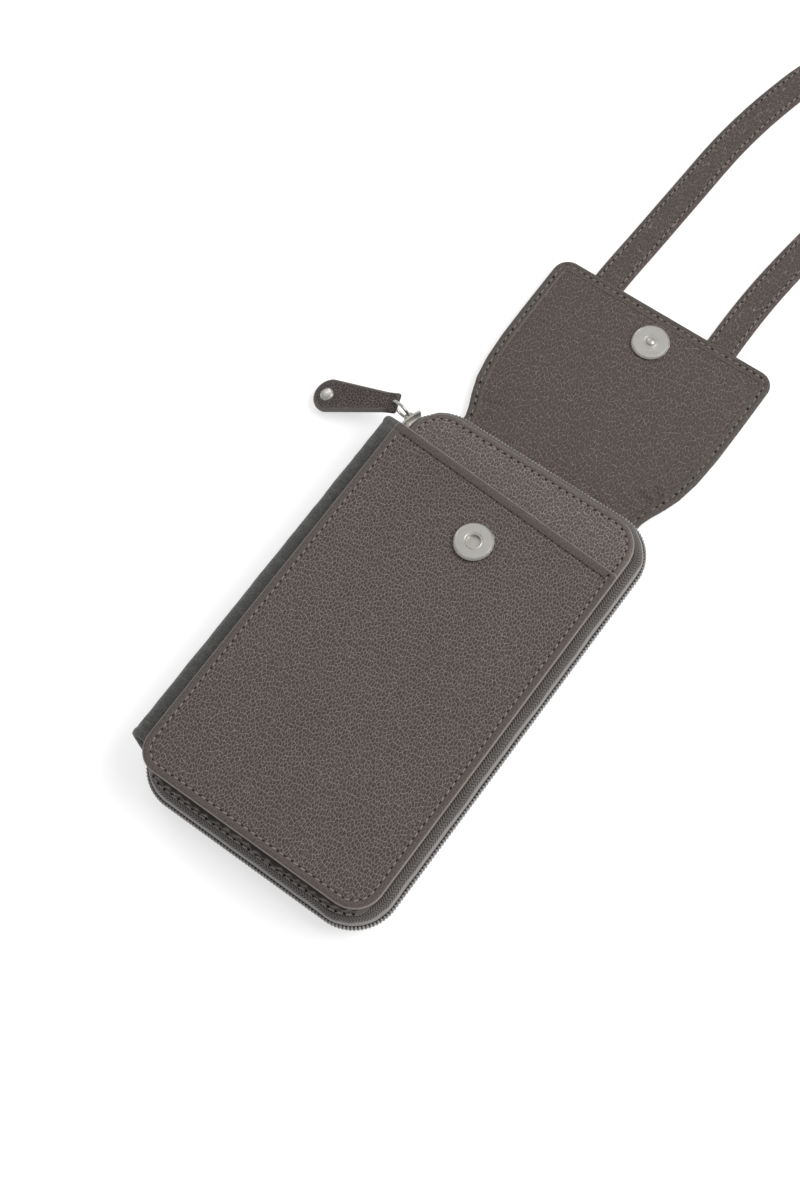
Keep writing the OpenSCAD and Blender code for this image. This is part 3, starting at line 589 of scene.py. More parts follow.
strap_dir = np.concatenate([strap_dir[:1], strap_dir, strap_dir[-1:]])
# the roll changes sides half way, so that the strap comes back without a turn
roll = strap_pts[:, 3].copy()
mid_i = len(roll) // 2
side0 = np.cross(strap_dir, (0, 0, 1.0))
side0 /= np.linalg.norm(side0, axis=1)[:, None]
up0 = np.cross(side0, strap_dir)
rr = np.radians(np.where(np.arange(len(roll)) > mid_i, 180 - roll, roll))
S_W = side0 * np.cos(rr)[:, None] + up0 * np.sin(rr)[:, None]
S_T = -side0 * np.sin(rr)[:, None] + up0 * np.cos(rr)[:, None]
half_w, half_t = 6.5, 0.9
section = []
for q in range(28):
    a = 2 * math.pi * q / 28
    cw, ct = math.cos(a), math.sin(a)
    section.append((math.copysign(abs(cw) ** 0.28, cw), math.copysign(abs(ct) ** 0.55, ct)))
section = np.array(section)
wob = Waves(5, 60)
C3 = strap_pts[:, :3] + S_T * (0.12 * wob(strap_pts[:, 0], strap_pts[:, 1]) * np.clip(strap_pts[:, 3] / 90 + 0.0, 0, 1))[:, None]
V, RIMS = [], []
for i in range(len(C3)):
    for w, t in section:
        groove = 0.10 * math.exp(-(((abs(w) * half_w - 4.5) / 0.5) ** 2))
        V.append(C3[i] + S_W[i] * w * half_w + S_T[i] * math.copysign(max(abs(t) * half_t * (1.0 - 0.12 * abs(w) ** 6) - groove, 0) if abs(t) > 0.05 else abs(t) * half_t, t))
        RIMS.append(step01(abs(w) * half_w, 5.95, 6.3) if abs(t) < 0.86 else 0.0)
k = len(section)
F = []
for i in range(len(C3) - 1):
    for j in range(k):
        z = (j + 1) % k
        F.append((i * k + j, i * k + z, (i + 1) * k + z, (i + 1) * k + j))
F.append(tuple(range(k))[::-1])
F.append(tuple(range((len(C3) - 1) * k, len(C3) * k)))
strap = mesh("strap", V, F, M_STRAP, rim=np.array(RIMS))
runs = []
for sgn in (1, -1):
    for face in (1, -1):
        Q = C3 + S_W * (4.5 * sgn) + S_T * (half_t * 0.93 * face)
        keep = strap_pts[:, 1] > 176
        runs.append((np.c_[Q, S_T * face][keep], False))
strap_stitch = stitches("strap_stitches", runs, holes=True, wide=0.42, high=0.26, lift=0.05, hole=(0.42, 0.32))
for o in (strap, strap_stitch):
    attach(o, "back_half")
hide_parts("strap_left", "strap_right", "strap_coil")

# ---------------------------------------------------------------- covers
OUT = (-48.5, 48.5, 0, 175, 13, 13, 13, 13)
Lc, Rc = box_sides(*OUT)
ys_cover = lines(175, EDGE, 3.5)
wv = Waves(11, 26)
wv2 = Waves(12, 9)


def shell(name, z0, z1, out_up, nodes, body):
    """One cover: leather turned over a board. out_up: the outer face is the top one."""
    r = (z1 - z0) / 2

    def outer(d):
        return -edge(d, r) + 0.30 * bell(d, 1.5, 0.9) - 0.22 * bell(d, 2.65, 0.32) - 0.05 * step01(d, 3.0, 6.0)

    def top(x, y, d, s):
        if out_up:
            crump = bell(np.hypot(x - 42, (y - 163) * 1.2), 0, 13) * step01(d, 2.9, 5)
            return z1 + outer(d) + 0.05 * wv(x, y) * step01(d, 2, 6) + 0.03 * wv2(s, 0 * s) * (d < 3) + 0.16 * crump * np.sin(0.9 * x + 1.1 * y + wv2(x, y))
        return z1 - edge(d, r)

    def bot(x, y, d, s):
        return z0 + edge(d, r) + (0 if out_up else 0.34 * bell(d, 2.65, 0.40))

    # the outer face alone gets the painted highlight line at the edge; the inner face keeps only the rim
    o = skin(name, Lc, Rc, ys_cover, box_outline(*OUT), top, bot, M_FRONT if out_up else M_COVER,
             rim=lambda x, y, d, s, t: turned(d) if t == out_up else np.minimum(turned(d), 0.5))
    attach(o, body)
    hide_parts(*nodes)
    face = (lambda x, y: np.full(len(x), z1 - 0.10)) if out_up else (lambda x, y: np.full(len(x), z0 + 0.30))
    line_ = box_outline(*OUT, d=2.65)
    st = stitches(name + "_stitches", [flat_run(line_, face, True, nz=1.0 if out_up else -1.0)], seed=8)
    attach(st, body)
    return o


front_shell = shell("front_cover_leather", 18.2, 21.0, True, ("front_cover", "front_board"), "front_half")
back_shell = shell("back_cover_leather", 0.0, 2.72, False, ("back_cover", "back_board"), "back_half")


def lining(name, box, z0, z1, up, nodes, body, mat=M_INNER, stitch=None, amp=0.03, seed=1):
    L, R = box_sides(*box)
    r = (z1 - z0) / 2
    w = Waves(seed + 40, 22)
    face = 1 if up else -1

    def top(x, y, d, s):
        return z1 - edge(d, r) + (amp * w(x, y) * step01(d, 1, 4) if up else 0)

    def bot(x, y, d, s):
        return z0 + edge(d, r) + (0 if up else amp * w(x, y) * step01(d, 1, 4))

    o = skin(name, L, R, lines(box[3] - box[2], EDGE[:12], 5), box_outline(*box), top, bot, mat, ds=EDGE[:12], step=5,
             rim=lambda x, y, d, s, t: 1 - step01(d, 0.4, 1.2))
    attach(o, body)
    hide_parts(*nodes)
    if stitch:
        st = stitches(name + "_stitches", [flat_run(p, lambda x, y: np.full(len(x), (z1 if up else z0) + 0.01 * face), c, nz=face) for p, c in stitch], seed=seed)
        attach(st, body)
    return o


lining("back_lining_leather", (-48.1, 48.1, 0.4, 174.6, 12.6, 12.6, 12.6, 12.6), 2.68, 3.3, True, ["back_lining"], "back_half", seed=21)
lining("front_lining_leather", (-48.1, 48.1, 0.4, 174.6, 12.6, 12.6, 12.6, 12.6), 17.7, 18.32, False, ["front_lining"], "front_half", seed=22)
for n, (node, y1) in enumerate((("card_slot_low", 98), ("card_slot_mid", 84), ("card_slot_top", 70))):
    b = (-43, 43, 12, y1, 2.5, 2.5, 1.5, 1.5)
    u = np.array([(-41.2, y1 - 1.6), (41.2, y1 - 1.6)])
    frame_line = np.array([(-41.2, y1 - 4), (-41.2, 13.8), (41.2, 13.8), (41.2, y1 - 4)])
    lining(node + "_leather", b, 3.3 + 0.6 * n, 3.9 + 0.6 * n, True, [node], "back_half", stitch=[(u, False)] + ([(frame_line, False)] if n == 2 else []), seed=23 + n)
lining("bill_pocket_leather", (-43, 43, 12, 128, 2.5, 2.5, 1.5, 1.5), 17.1, 17.7, False, ["bill_pocket"], "front_half",
       stitch=[(np.array([(-41.2, 126.4), (41.2, 126.4)]), False), (np.array([(-41.2, 124), (-41.2, 13.8), (41.2, 13.8), (41.2, 124)]), False)], seed=27)

# ---------------------------------------------------------------- spine: two pieces, each from its cover's edge round to the middle of the spine's side
sp_wave, sp_wave2, sp_wave3 = Waves(31, 7), Waves(32, 16), Waves(33, 3.2)


def spine_piece(name, upper):
    prof = [(-47.2, 21.0, 0, 1), (-48.0, 21.3, 0, 1)] + [(x, 21.42 + 0.1 * math.sin((x + 57) / 3), 0, 1) for x in np.linspace(-48.8, -56.6, 9)]
    prof = [(x, z, 0.0, 1.0) for x, z, _, _ in prof]
    for a in np.linspace(90, 180, 12)[1:]:
        ca, sa = math.cos(math.radians(a)), math.sin(math.radians(a))
        prof.append((-56.55 + 2.6 * ca, 18.85 + 2.6 * sa, ca, sa))
    for z in np.linspace(17.6, 10.5, 8):
        prof.append((-59.15 - 0.12 * math.sin((z - 10.5) / 8 * math.pi), z, -1.0, 0.0))
    prof = np.array(prof)
    if not upper:
        prof[:, 1] = 21 - prof[:, 1]
        prof[:, 3] *= -1
        prof[:, 1] = np.maximum(prof[:, 1], 0.0)
    ys = lines(153, [0, 0.08, 0.25, 0.5, 0.9, 1.5, 2.2, 3.0, 3.6, 4.4], 1.6) + 8
    ln = np.concatenate([[0], np.cumsum(np.hypot(*np.diff(prof[:, :2], axis=0).T))])
    A, B, RM = [], [], []
    for y in ys:
        e_ = min(y - 8, 161 - y)
        t = 1.2 * math.sqrt(max(1 - (1 - min(e_ / 0.9, 1)) ** 2, 0))
        end = 0.28 * math.exp(-(((e_ - 1.6) / 1.2) ** 2)) - 0.16 * math.exp(-(((e_ - 3.4) / 0.5) ** 2))
        sag = 0.03 * sp_wave(y, ln) + 0.06 * sp_wave2(y, ln * 0.7) + 0.02 * sp_wave3(y, ln)
        lift = (sag if upper else np.clip(sag, -1, 0) * (prof[:, 2] > -0.5) + sag * (prof[:, 2] <= -0.5)) + end
        if not upper:
            lift = np.where(prof[:, 1] < 0.4, np.minimum(lift, 0), lift)
        lift = lift * (1 - step01(ln, ln[-1] - 2.0, ln[-1]))
        mid = 0.6
        ox = prof[:, 0] + prof[:, 2] * (lift - mid + t / 2)
        oz = prof[:, 1] + prof[:, 3] * (lift - mid + t / 2)
        ix = prof[:, 0] + prof[:, 2] * (-mid - t / 2)
        iz = prof[:, 1] + prof[:, 3] * (-mid - t / 2)
        A.append(np.stack([ox, np.full(len(prof), y), oz], 1))
        B.append(np.stack([ix, np.full(len(prof), y), iz], 1))
        RM.append(np.full(len(prof), 1 - step01(e_, 0.3, 1.6)) * 0.7)
    A, B = np.array(A), np.array(B)
    r = np.concatenate([np.array(RM).ravel()] * 2)
    o = strip(name, A, B, M_SPINE, rim=r)
    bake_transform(o)
    return o


spine_up = spine_piece("spine_leather_front", True)
spine_low = spine_piece("spine_leather_back", False)
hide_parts("spine")
# a thin leather plate on the inner side of the spine
cols = np.linspace(3.0, 18.0, 12)
rows = np.linspace(9.5, 159.5, 60)
cw = Waves(51, 12)
A = np.array([[(-57.9, y, z) for z in cols[::-1]] for y in rows])
B = np.array([[(-56.5 + 0.12 * float(cw(y, z)) * math.sin((z - 3) / 15 * math.pi), y, z) for z in cols[::-1]] for y in rows])
core = strip("spine_lining_leather", A, B, M_INNER)
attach(core, "spine")
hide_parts("spine_board")

# ---------------------------------------------------------------- pocket gusset: gathered leather
gx, gr = 48.3, 12.4
path = [(-gx, y, -1, 0) for y in np.arange(156.6, 13, -1.3)]
path += [(-gx + gr + gr * math.cos(a), 13 + gr * math.sin(a), math.cos(a), math.sin(a)) for a in np.radians(np.linspace(180, 270, 20))]
path += [(x, 0.6, 0, -1) for x in np.arange(-gx + gr + 1.2, gx - gr, 1.2)]
path += [(gx - gr + gr * math.cos(a), 13 + gr * math.sin(a), math.cos(a), math.sin(a)) for a in np.radians(np.linspace(270, 360, 20))]
path += [(gx, y, 1, 0) for y in np.arange(14.3, 151.0, 1.3)]
path = np.array(path)
ln = np.concatenate([[0], np.cumsum(np.hypot(*np.diff(path[:, :2], axis=0).T))])
foot = [(2.05, -0.45, 0.25), (2.30, -0.15, 0.35), (2.16, 0.16, 0.45), (1.60, 0.30, 0.5), (1.05, 0.36, 0.55), (0.55, 0.55, 0.6)]
zrow = np.linspace(0.13, 1, 12)
gw1, gw2, gw3 = Waves(61, 40), Waves(62, 13), Waves(63, 5)
A, B, RM = [], [], []
for i, (x, y, nx, ny) in enumerate(path):
    s = ln[i]
    right_side = x > 40 and y > 16
    # the foot and the bulge belong to the bottom run and its corners
    low = 1 - float(step01(y, 3.5, 11.0))
    amp = 0.16 if right_side else 0.62 + 0.1 * low
    sec = []
    # the foot's outer points along the bottom get rim 0.9, coloured much lighter: a painted highlight on the rounded
    # lip beside the stitches
    for fu, fz, ft_ in foot:
        sec.append((0.15 + (fu - 0.15) * low + 0.05 * float(gw3(s, 0)) * low, 21.0 + (fz if low > 0 else 0) * low + 0.02 * len(sec), 0.3 + (ft_ - 0.3) * low, 0.9 * low if fu > 0.9 else 0.3 * low))
    for q in zrow:
        z = 21.0 + 7.65 * q
        win = math.sin(math.pi * min(max(q, 0), 1)) ** 0.6
        ph = 2 * math.pi * (s / 4.3 + 0.75 * q) + 1.6 * float(gw1(s, 0)) + 0.6 * float(gw2(s, q * 6))
        fold = math.sin(ph)
        u = amp * win * (0.6 * fold + 0.25 * math.sin(2.3 * ph + 1) + 0.35 * float(gw2(s, q * 8)) + 0.15 * float(gw3(s, q * 7)))
        u += (0.15 - 0.45 * math.sin(math.pi * q)) * (1 - low) + low * (0.20 + 1.15 * math.sin(math.pi * min(q / 0.82, 1)) - 1.0 * float(step01(q, 0.55, 0.9)))
        u -= 0.75 * float(step01(q, 0.72, 1.0))
        sec.append((u, z, 0.9, 0.0))
    sec = np.array(sec)
    tn = np.gradient(sec[:, :2], axis=0)
    tn /= np.linalg.norm(tn, axis=1)[:, None] + 1e-9
    nu, nz_ = tn[:, 1], -tn[:, 0]
    inn = sec[:, :2] - np.stack([nu, nz_], 1) * sec[:, 2:3]
    A.append([(x + nx * u, y + ny * u, z) for u, z in sec[:, :2]])
    B.append([(x + nx * u, y + ny * u, z) for u, z in inn])
    RM += list(sec[:, 3])
A, B = np.array(A), np.array(B)
gusset = strip("gusset_leather", A, B, M_GUSSET, rim=np.concatenate([RM, RM]))
# painted shade: the gusset's upper faces deep in the fold under the panel get a near-black material
gusset.data.materials.append(M_PAINTED_SHADE)
for pg in gusset.data.polygons:
    if pg.center.z * 1000 > 21.0 + 7.65 * 0.56 and pg.center.y * 1000 + H < 4:
        pg.material_index = 1
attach(gusset, "front_half")
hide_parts("gusset_left", "gusset_bottom", "gusset_right")
# stitches that hold it to the cover
i0 = 1
lows = [p for p in path if p[1] < 3.5]
sides_l = [p for p in path if p[0] < 0 and p[1] > 11]
sides_r = [p for p in path if p[0] > 0 and p[1] > 11]
run = np.array([(p[0] + p[2] * 1.85, p[1] + p[3] * 1.85, 21.22, p[2] * 0.15, p[3] * 0.15, 1.0) for p in lows])
runs = [(run, False)] + [(np.array([(p[0] + p[2] * 0.05, p[1] + p[3] * 0.05, 22.0, p[2], p[3], 0.15) for p in g]), False) for g in (sides_l, sides_r)]
gst = stitches("gusset_stitches", runs, wide=0.42, lift=0.05, seed=5)
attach(gst, "front_half")

# ---------------------------------------------------------------- pocket panel
PB = (-50.5, 50.5, 0, 155.15, 10, 11.5, 1.6, 1.6)
slope = (158 - 152.3) / 101


def slant(P):
    Q = P.copy()
    Q[:, 1] = P[:, 1] * (1 - slope * P[:, 0] / 155.15)
    return Q


pw, pw2 = Waves(71, 55), Waves(72, 11)


def panel_top(x, y, d, s):
    mouth = 155.15 - slope * x - y
    z = 30.0 - edge(d, 0.72)
    hem = 0.12 * bell(mouth, 2.2, 1.2) - 0.20 * bell(mouth, 3.7, 0.32)
    z = z + 0.14 * bell(d, 1.5, 0.9) - 0.20 * bell(d, 3.0, 0.32) * step01(mouth, 3.0, 4.2) + hem
    z = z + 0.10 * step01(d, 4, 26) + 0.06 * pw(x, y) * step01(d, 3, 12) + 0.02 * pw2(s, 0 * s) * (1 - step01(d, 2.5, 4))
    snap = np.hypot(x - 0.8, y - 133.6)
    return z + (29.96 - z) * (1 - step01(snap, 8.0, 11.0))


def panel_bot(x, y, d, s):
    return 28.6 + edge(d, 0.68)


Lp, Rp = box_sides(*PB)
# the top face alone gets the painted highlight line at the edge
panel = skin("pocket_panel_leather", Lp, Rp, lines(155.15, PANEL_EDGE, 2.6), box_outline(*PB), panel_top, panel_bot, M_COVER, ds=PANEL_EDGE, warp=slant, step=2.6,
             rim=lambda x, y, d, s, t: np.maximum(np.maximum(turned(d), 0.5 * (1 - step01(d, 2.9, 4.3))), 0.5 * (1 - step01(155.15 - slope * x - y, 3.4, 3.9))) if t else np.minimum(turned(d), 0.5))
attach(panel, "front_half")
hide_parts("pocket_panel")
P_out = slant(box_outline(*PB))


def panel_z(x, y):
    d, s = near(np.stack([x, y], 1), P_out)
    return panel_top(x, y, d, s)


inner = slant(box_outline(*PB, d=3.0))
inner = inner[(inner[:, 1] < 150)]
inner = np.concatenate([inner[:0], inner])
# sides and bottom: from the mouth's left end down, round and up to its right end
sides = np.concatenate([[(-47.5, 153.6)], inner, [(47.5, 147.9)]])
mouth = np.array([(-48.8, 155.15 + slope * 48.8 - 3.7), (48.8, 155.15 - slope * 48.8 - 3.7)])
pst = stitches("pocket_stitches", [flat_run(sides, panel_z)], seed=14)
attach(pst, "front_half")
mst = stitches("mouth_stitches", [flat_run(mouth, panel_z)], mats=(M_THREAD_DARK, M_HOLE_SHADE), seed=15)
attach(mst, "front_half")

# ---------------------------------------------------------------- zip
cx, cy0, cy1 = 35.5, 13.0, 162.0


def zip_frames(step_mm, r=17.6, a_end=180.0):
    """Base points and outward directions round the three zipped sides and both corners at the spine, evenly spaced at radius r."""
    segs = [("arc", -cx, cy0, 180, 270), ("line", -cx, cy0, cx, cy0, 270), ("arc", cx, cy0, 270, 360), ("line", cx, cy0, cx, cy1, 0),
            ("arc", cx, cy1, 0, 90), ("line", cx, cy1, -cx, cy1, 90), ("arc", -cx, cy1, 90, a_end)]
    out, s0 = [], 0.0
    for g in segs:
        if g[0] == "arc":
            length = math.radians(g[4] - g[3]) * r
            n = max(2, round(length / step_mm))
            for k in range(n):
                a = math.radians(g[3] + (g[4] - g[3]) * k / n)
                out.append((g[1], g[2], math.cos(a), math.sin(a), s0 + length * k / n, 1.0, math.degrees(a)))
        else:
            length = math.hypot(g[3] - g[1], g[4] - g[2])
            n = max(2, round(length / step_mm))
            a = math.radians(g[5])
            for k in range(n):
                f = k / n
                out.append((g[1] + (g[3] - g[1]) * f, g[2] + (g[4] - g[2]) * f, math.cos(a), math.sin(a), s0 + length * f, 0.0, g[5] if g[5] != 90 else 90))
        s0 += length
    a = math.radians(a_end)
    out.append((-cx, cy1, math.cos(a), math.sin(a), s0, 1.0, a_end))
    return np.array(out)


tape_line = smooth_line([(10, 3.35), (12.2, 3.36), (13.4, 3.5), (14.4, 4.1), (15.3, 5.1), (15.95, 6.3), (16.4, 7.6), (16.6, 8.8), (16.6, 9.6)], 4)
tl = np.concatenate([[0], np.cumsum(np.hypot(*np.diff(tape_line, axis=0).T))])
tan = np.gradient(tape_line, axis=0)
tan /= np.linalg.norm(tan, axis=1)[:, None]
nrm2 = np.stack([tan[:, 1], -tan[:, 0]], 1)
zw, zw2 = Waves(81, 9), Waves(82, 34)


def tape(name, front, body, node):
    fr = zip_frames(2.0)
    A, B, U = [], [], []
    for bx, by, nx, ny, s, corner, ang in fr:
        pk = 0.16 * float(zw(s, 0)) * (0.5 + 0.9 * corner) + 0.12 * float(zw2(s, 1))
        win = np.sin(np.clip((tl - 3.0) / (tl[-1] - 3.0), 0, 1) * math.pi)
        o = tape_line + nrm2 * (pk * win)[:, None]
        i = o - nrm2 * 0.55
        for dst, q in ((A, o), (B, i)):
            z = 21 - q[:, 1] if front else q[:, 1]
            dst.append(np.stack([bx + nx * q[:, 0], by + ny * q[:, 0], z], 1))
        U.append(np.stack([np.full(len(tl), s), tl], 1))
    A, B, U = np.array(A), np.array(B), np.array(U).reshape(-1, 2)
    o = strip(name, A, B, M_TAPE, uv=np.concatenate([U, U]))
    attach(o, body)
    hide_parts(node)
    return o


tape("zip_tape_back_weave", False, "back_half", "zip_tape_back")
tape("zip_tape_front_weave", True, "front_half", "zip_tape_front")


def teeth(name, front, body, node):
    """Coil teeth: a short loop at each step, with the woven core behind them, coloured near-black as painted shade
    between the teeth. The two rows mesh except near the slider.
    """
    V, F, FM = [], [], []
    fr = zip_frames(1.4)
    last = 146 if front else 180
    for k, (bx, by, nx, ny, s, corner, ang) in enumerate(fr):
        tl_corner = by == cy1 and bx == -cx and corner
        if tl_corner and ang > last:
            continue
        free = tl_corner and ang > 108
        shift = 0.5 if front else 0.0
        j = min(k + 1, len(fr) - 1)
        f = shift
        b2 = fr[j]
        px, py = bx + (b2[0] - bx) * f, by + (b2[1] - by) * f
        ux, uy = nx + (b2[2] - nx) * f, ny + (b2[3] - ny) * f
        h_ = math.hypot(ux, uy)
        ux, uy = ux / h_, uy / h_
        tx, ty = -uy, ux
        z0, z1 = 9.05, (10.2 if free else 10.78)
        rx, rt = 0.60, 0.50
        rc = 17.12
        base = len(V)
        rows = ((z0, 0.55), (z0 + 0.25, 0.95), ((z0 + z1) / 2, 1.0), (z1 - 0.28, 0.95), (z1, 0.45))
        for z, kk in rows:
            lean = (z - z0) * 0.12
            for q in range(8):
                w = 2 * math.pi * q / 8
                r_ = rc + rx * kk * math.copysign(abs(math.cos(w)) ** 0.75, math.cos(w))
                tt = rt * kk * math.sin(w) + lean
                zz = 21 - z if front else z
                V.append((px + ux * r_ + tx * tt, py + uy * r_ + ty * tt, zz))
        for a in range(4):
            for q in range(8):
                z_ = (q + 1) % 8
                f4 = (base + 8 * a + q, base + 8 * a + z_, base + 8 * a + 8 + z_, base + 8 * a + 8 + q)
                F.append(f4[::-1] if front else f4)
        F.append(tuple(base + q for q in range(8)) if front else tuple(base + q for q in range(8))[::-1])
        F.append(tuple(base + 32 + q for q in range(8))[::-1] if front else tuple(base + 32 + q for q in range(8)))
        FM += [0] * 34
    # woven core, near-black: painted shade in the gaps between the teeth
    n0 = len(V)
    keep = [g for g in fr if not (g[1] == cy1 and g[0] == -cx and g[5] and g[6] > last)]
    for bx, by, nx, ny, s, corner, ang in keep:
        for r_, z in ((16.0, 9.3), (16.85, 9.3), (16.85, 10.25), (16.0, 10.25)):
            V.append((bx + nx * r_, by + ny * r_, 21 - z if front else z))
    for i in range(len(keep) - 1):
        for q in range(4):
            z_ = (q + 1) % 4
            f4 = (n0 + 4 * i + q, n0 + 4 * i + z_, n0 + 4 * i + 4 + z_, n0 + 4 * i + 4 + q)
            F.append(f4 if front else f4[::-1])
            FM.append(1)
    o = mesh(name, V, F, (M_COIL, M_CORE_SHADE), face_mat=FM)
    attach(o, body)
    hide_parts(node)
    return o


teeth("zip_coil_back", False, "back_half", "zip_teeth_back")
teeth("zip_coil_front", True, "front_half", "zip_teeth_front")

# ---------------------------------------------------------------- flap: three pieces, each with close rows round one fold
FA, FB, FC, FEND = 181.6, 196.705, 226.040, 262.76
side_y = np.array([172, 180.6, 184, 188, 193, 200, 209, 221, 236, 256.26])
side_w = np.array([39.6, 40, 40.3, 41.6, 43.9, 46.4, 48.1, 49.0, 49.2, 49.2])


def hw(y, d=0.0):
    y = float(y)
    if y > 256.26:
        return 49.2 - 6.5 + math.sqrt(max((6.5 - d) ** 2 - (y - 256.26) ** 2, 0))
    return float(np.interp(y, side_y, side_w)) - d


fy = np.concatenate([np.arange(172, 256.26, 1.0), [256.26]])
right_side = np.array([(hw(y), y) for y in fy])
corner = np.array([(42.7 + 6.5 * math.cos(a), 256.26 + 6.5 * math.sin(a)) for a in np.radians(np.linspace(0, 90, 16)[1:])])
half_out = np.concatenate([right_side, corner])
F_OUT = np.concatenate([half_out, half_out[::-1] * (-1, 1)])
flen = float(np.linalg.norm(np.diff(F_OUT, axis=0), axis=1).sum())
fw, fw2, fw3, fw4 = Waves(91, 30), Waves(92, 7), Waves(93, 3.2), Waves(94, 14)


def flap_mid(y):
    """Drop of the strip where it comes out of the back cover's top edge."""
    return -0.95 * (1 - step01(y, 174.0, 177.6))


def flap_top(x, y, d, s):
    z = 4.4 + flap_mid(y) - edge(d, 0.98)
    rimw = 1 - step01(d, 4.3, 4.75)
    z = z + 0.18 * bell(d, 1.3, 0.8) + 0.20 * bell(d, 3.6, 0.6) - 0.22 * bell(d, 2.45, 0.35) - 0.34 * bell(d, 4.7, 0.32) - 0.14 * step01(d, 4.4, 4.9)
    # gathers: strongest at the free corners and along the lower sides
    along = np.minimum(s, flen - s)
    gather = 0.35 + 0.9 * bell(along, 84 + 5.0, 9.0) + 0.5 * bell(along, 25, 22)
    z = z + gather * rimw * step01(d, 0.3, 1.2) * (0.16 * fw2(s, d * 0.8) + 0.10 * fw3(s, d))
    z = z + 0.10 * fw(x, y) * step01(d, 4, 9) + 0.028 * fw2(x, y) * step01(d, 4.6, 7)
    free = FEND - y
    z = z - 0.10 * bell(free, 6.4, 0.28) * step01(d, 4.5, 6)
    root = 1 - step01(y, 184, 205)
    z = z + 0.16 * root * fw4(x * 1.3, y * 0.5) + 0.08 * root * fw2(x * 0.5, y * 2.2)
    pull = bell(y, 194, 11) * step01(np.abs(x), 22, 38) * step01(d, 3.5, 6)
    z = z + pull * (0.55 * np.sin(0.50 * np.abs(x) + 0.85 * y + 0.9 * fw4(x, y)) - 0.30)
    snap = np.hypot(x - 0.8, y - 249.16)
    z = z + (4.38 - z) * (1 - step01(snap, 7.8, 10.5))
    return np.minimum(z, 4.62 + 0.2 * root)


def flap_bot(x, y, d, s):
    z = 2.4 + flap_mid(y) + edge(d, 0.98)
    return z + (0.06 * fw(x + 9, y) + 0.12 * bell(d, 2.45, 0.35)) * step01(d, 1, 3) * 1.0 + 0.03


F_EDGE = [0, 0.06, 0.2, 0.45, 0.8, 1.3, 1.8, 2.2, 2.5, 2.8, 3.3, 3.8, 4.2, 4.5, 4.75, 5.1, 5.8, 6.4, 7.0, 8.6]


def flap_piece(name, y0, y1, ys, nodes):
    # the top face's rim attribute peaks at d 4.2: a painted highlight line along the raised inner edge of the rim,
    # beside the groove
    o = skin(name, lambda y: -hw(y), hw, ys, F_OUT, flap_top, flap_bot, M_FLAP, ds=F_EDGE, step=1.9, closed=False, wmax=98.4, cuts=(189, 211),
             rim=lambda x, y, d, s, t: (0.5 * (1 - step01(d, 4.35, 4.75)) + 0.5 * bell(d, 4.2, 0.12)) if t else np.ones(len(x)) * 0.0)
    # the outer leather: the lower face and the rim's side
    o.data.materials.append(M_COVER)
    idx = [1 if p.normal.z < -0.25 else 0 for p in o.data.polygons]
    o.data.polygons.foreach_set("material_index", idx)
    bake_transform(o)
    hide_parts(*nodes)
    return o


def rows(y0, y1, fold, gap=1.6):
    fine = np.arange(fold - 2.6, fold + 2.7, 0.37)
    ys = np.concatenate([np.arange(y0, y1, gap), fine, [y1]])
    ys = ys[(ys >= y0) & (ys <= y1)]
    ys = np.unique(np.round(ys, 3))
    out = [ys[0]]
    for y in ys[1:]:
        if y - out[-1] > 0.2:
            out.append(y)
    out[-1] = y1
    return out


end_rows = [FEND - x for x in F_EDGE][::-1]
rows_c = [y for y in rows(211, FEND - 9.6, FC) if y < FEND - 8.8] + end_rows
flap_piece("flap_leather_root", 174, 189, rows(174, 189, FA), ["flap_root", "flap_bridge_skin", "flap_bridge_lining"])
flap_piece("flap_leather_middle", 189, 211, rows(189, 211, FB), ["flap_slope_skin", "flap_slope_lining"])
flap_piece("flap_leather_front", 211, FEND, rows_c, ["flap_front_skin", "flap_front_lining", "flap_stiffener"])


def flap_line(d):
    ys = np.arange(177.5, 256.26, 1.0)
    rs = np.array([(hw(y) - d, y) for y in ys])
    co = np.array([(42.7 + (6.5 - d) * math.cos(a), 256.26 + (6.5 - d) * math.sin(a)) for a in np.radians(np.linspace(0, 90, 12))])
    h_ = np.concatenate([rs, co])
    return np.concatenate([h_, h_[::-1] * (-1, 1)])


def flap_z(x, y):
    d, s = near(np.stack([x, y], 1), F_OUT, False)
    return flap_top(x, y, d, s)


def flap_zb(x, y):
    d, s = near(np.stack([x, y], 1), F_OUT, False)
    return flap_bot(x, y, d, s)


full = flap_line(2.45)
for name, y0, y1, a, b, fold in (("root", 177, 189, "back_half", "flap_bridge", FA), ("middle", 189, 211, "flap_bridge", "flap_slope", FB), ("front", 211, 300, "flap_slope", "flap_front", FC)):
    runs = []
    dense, _, _ = resample(np.c_[full, np.zeros(len(full))], 0.5)
    m = (dense[:, 1] >= y0) & (dense[:, 1] < y1)
    cut = np.flatnonzero(np.diff(m.astype(int)) != 0) + 1
    for part in np.split(np.arange(len(dense)), cut):
        if len(part) > 3 and m[part[0]]:
            runs.append(flat_run(dense[part][:, :2], flap_z))
            runs.append(flat_run(dense[part][:, :2], flap_zb, nz=-1.0))
    st = stitches("flap_stitches_" + name, runs, mats=(M_THREAD_FLAP, M_HOLE_SHADE), seed=17)
    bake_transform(st)

# ---------------------------------------------------------------- pull tab
HOLE = np.array((-63.072, 169.355, 12.0))
head, droop = math.radians(199), math.radians(15.4)
ax = np.array((math.cos(head) * math.cos(droop), math.sin(head) * math.cos(droop), -math.sin(droop)))
sx = np.array((-math.sin(head), math.cos(head), 0.0))
nz = np.cross(ax, sx)


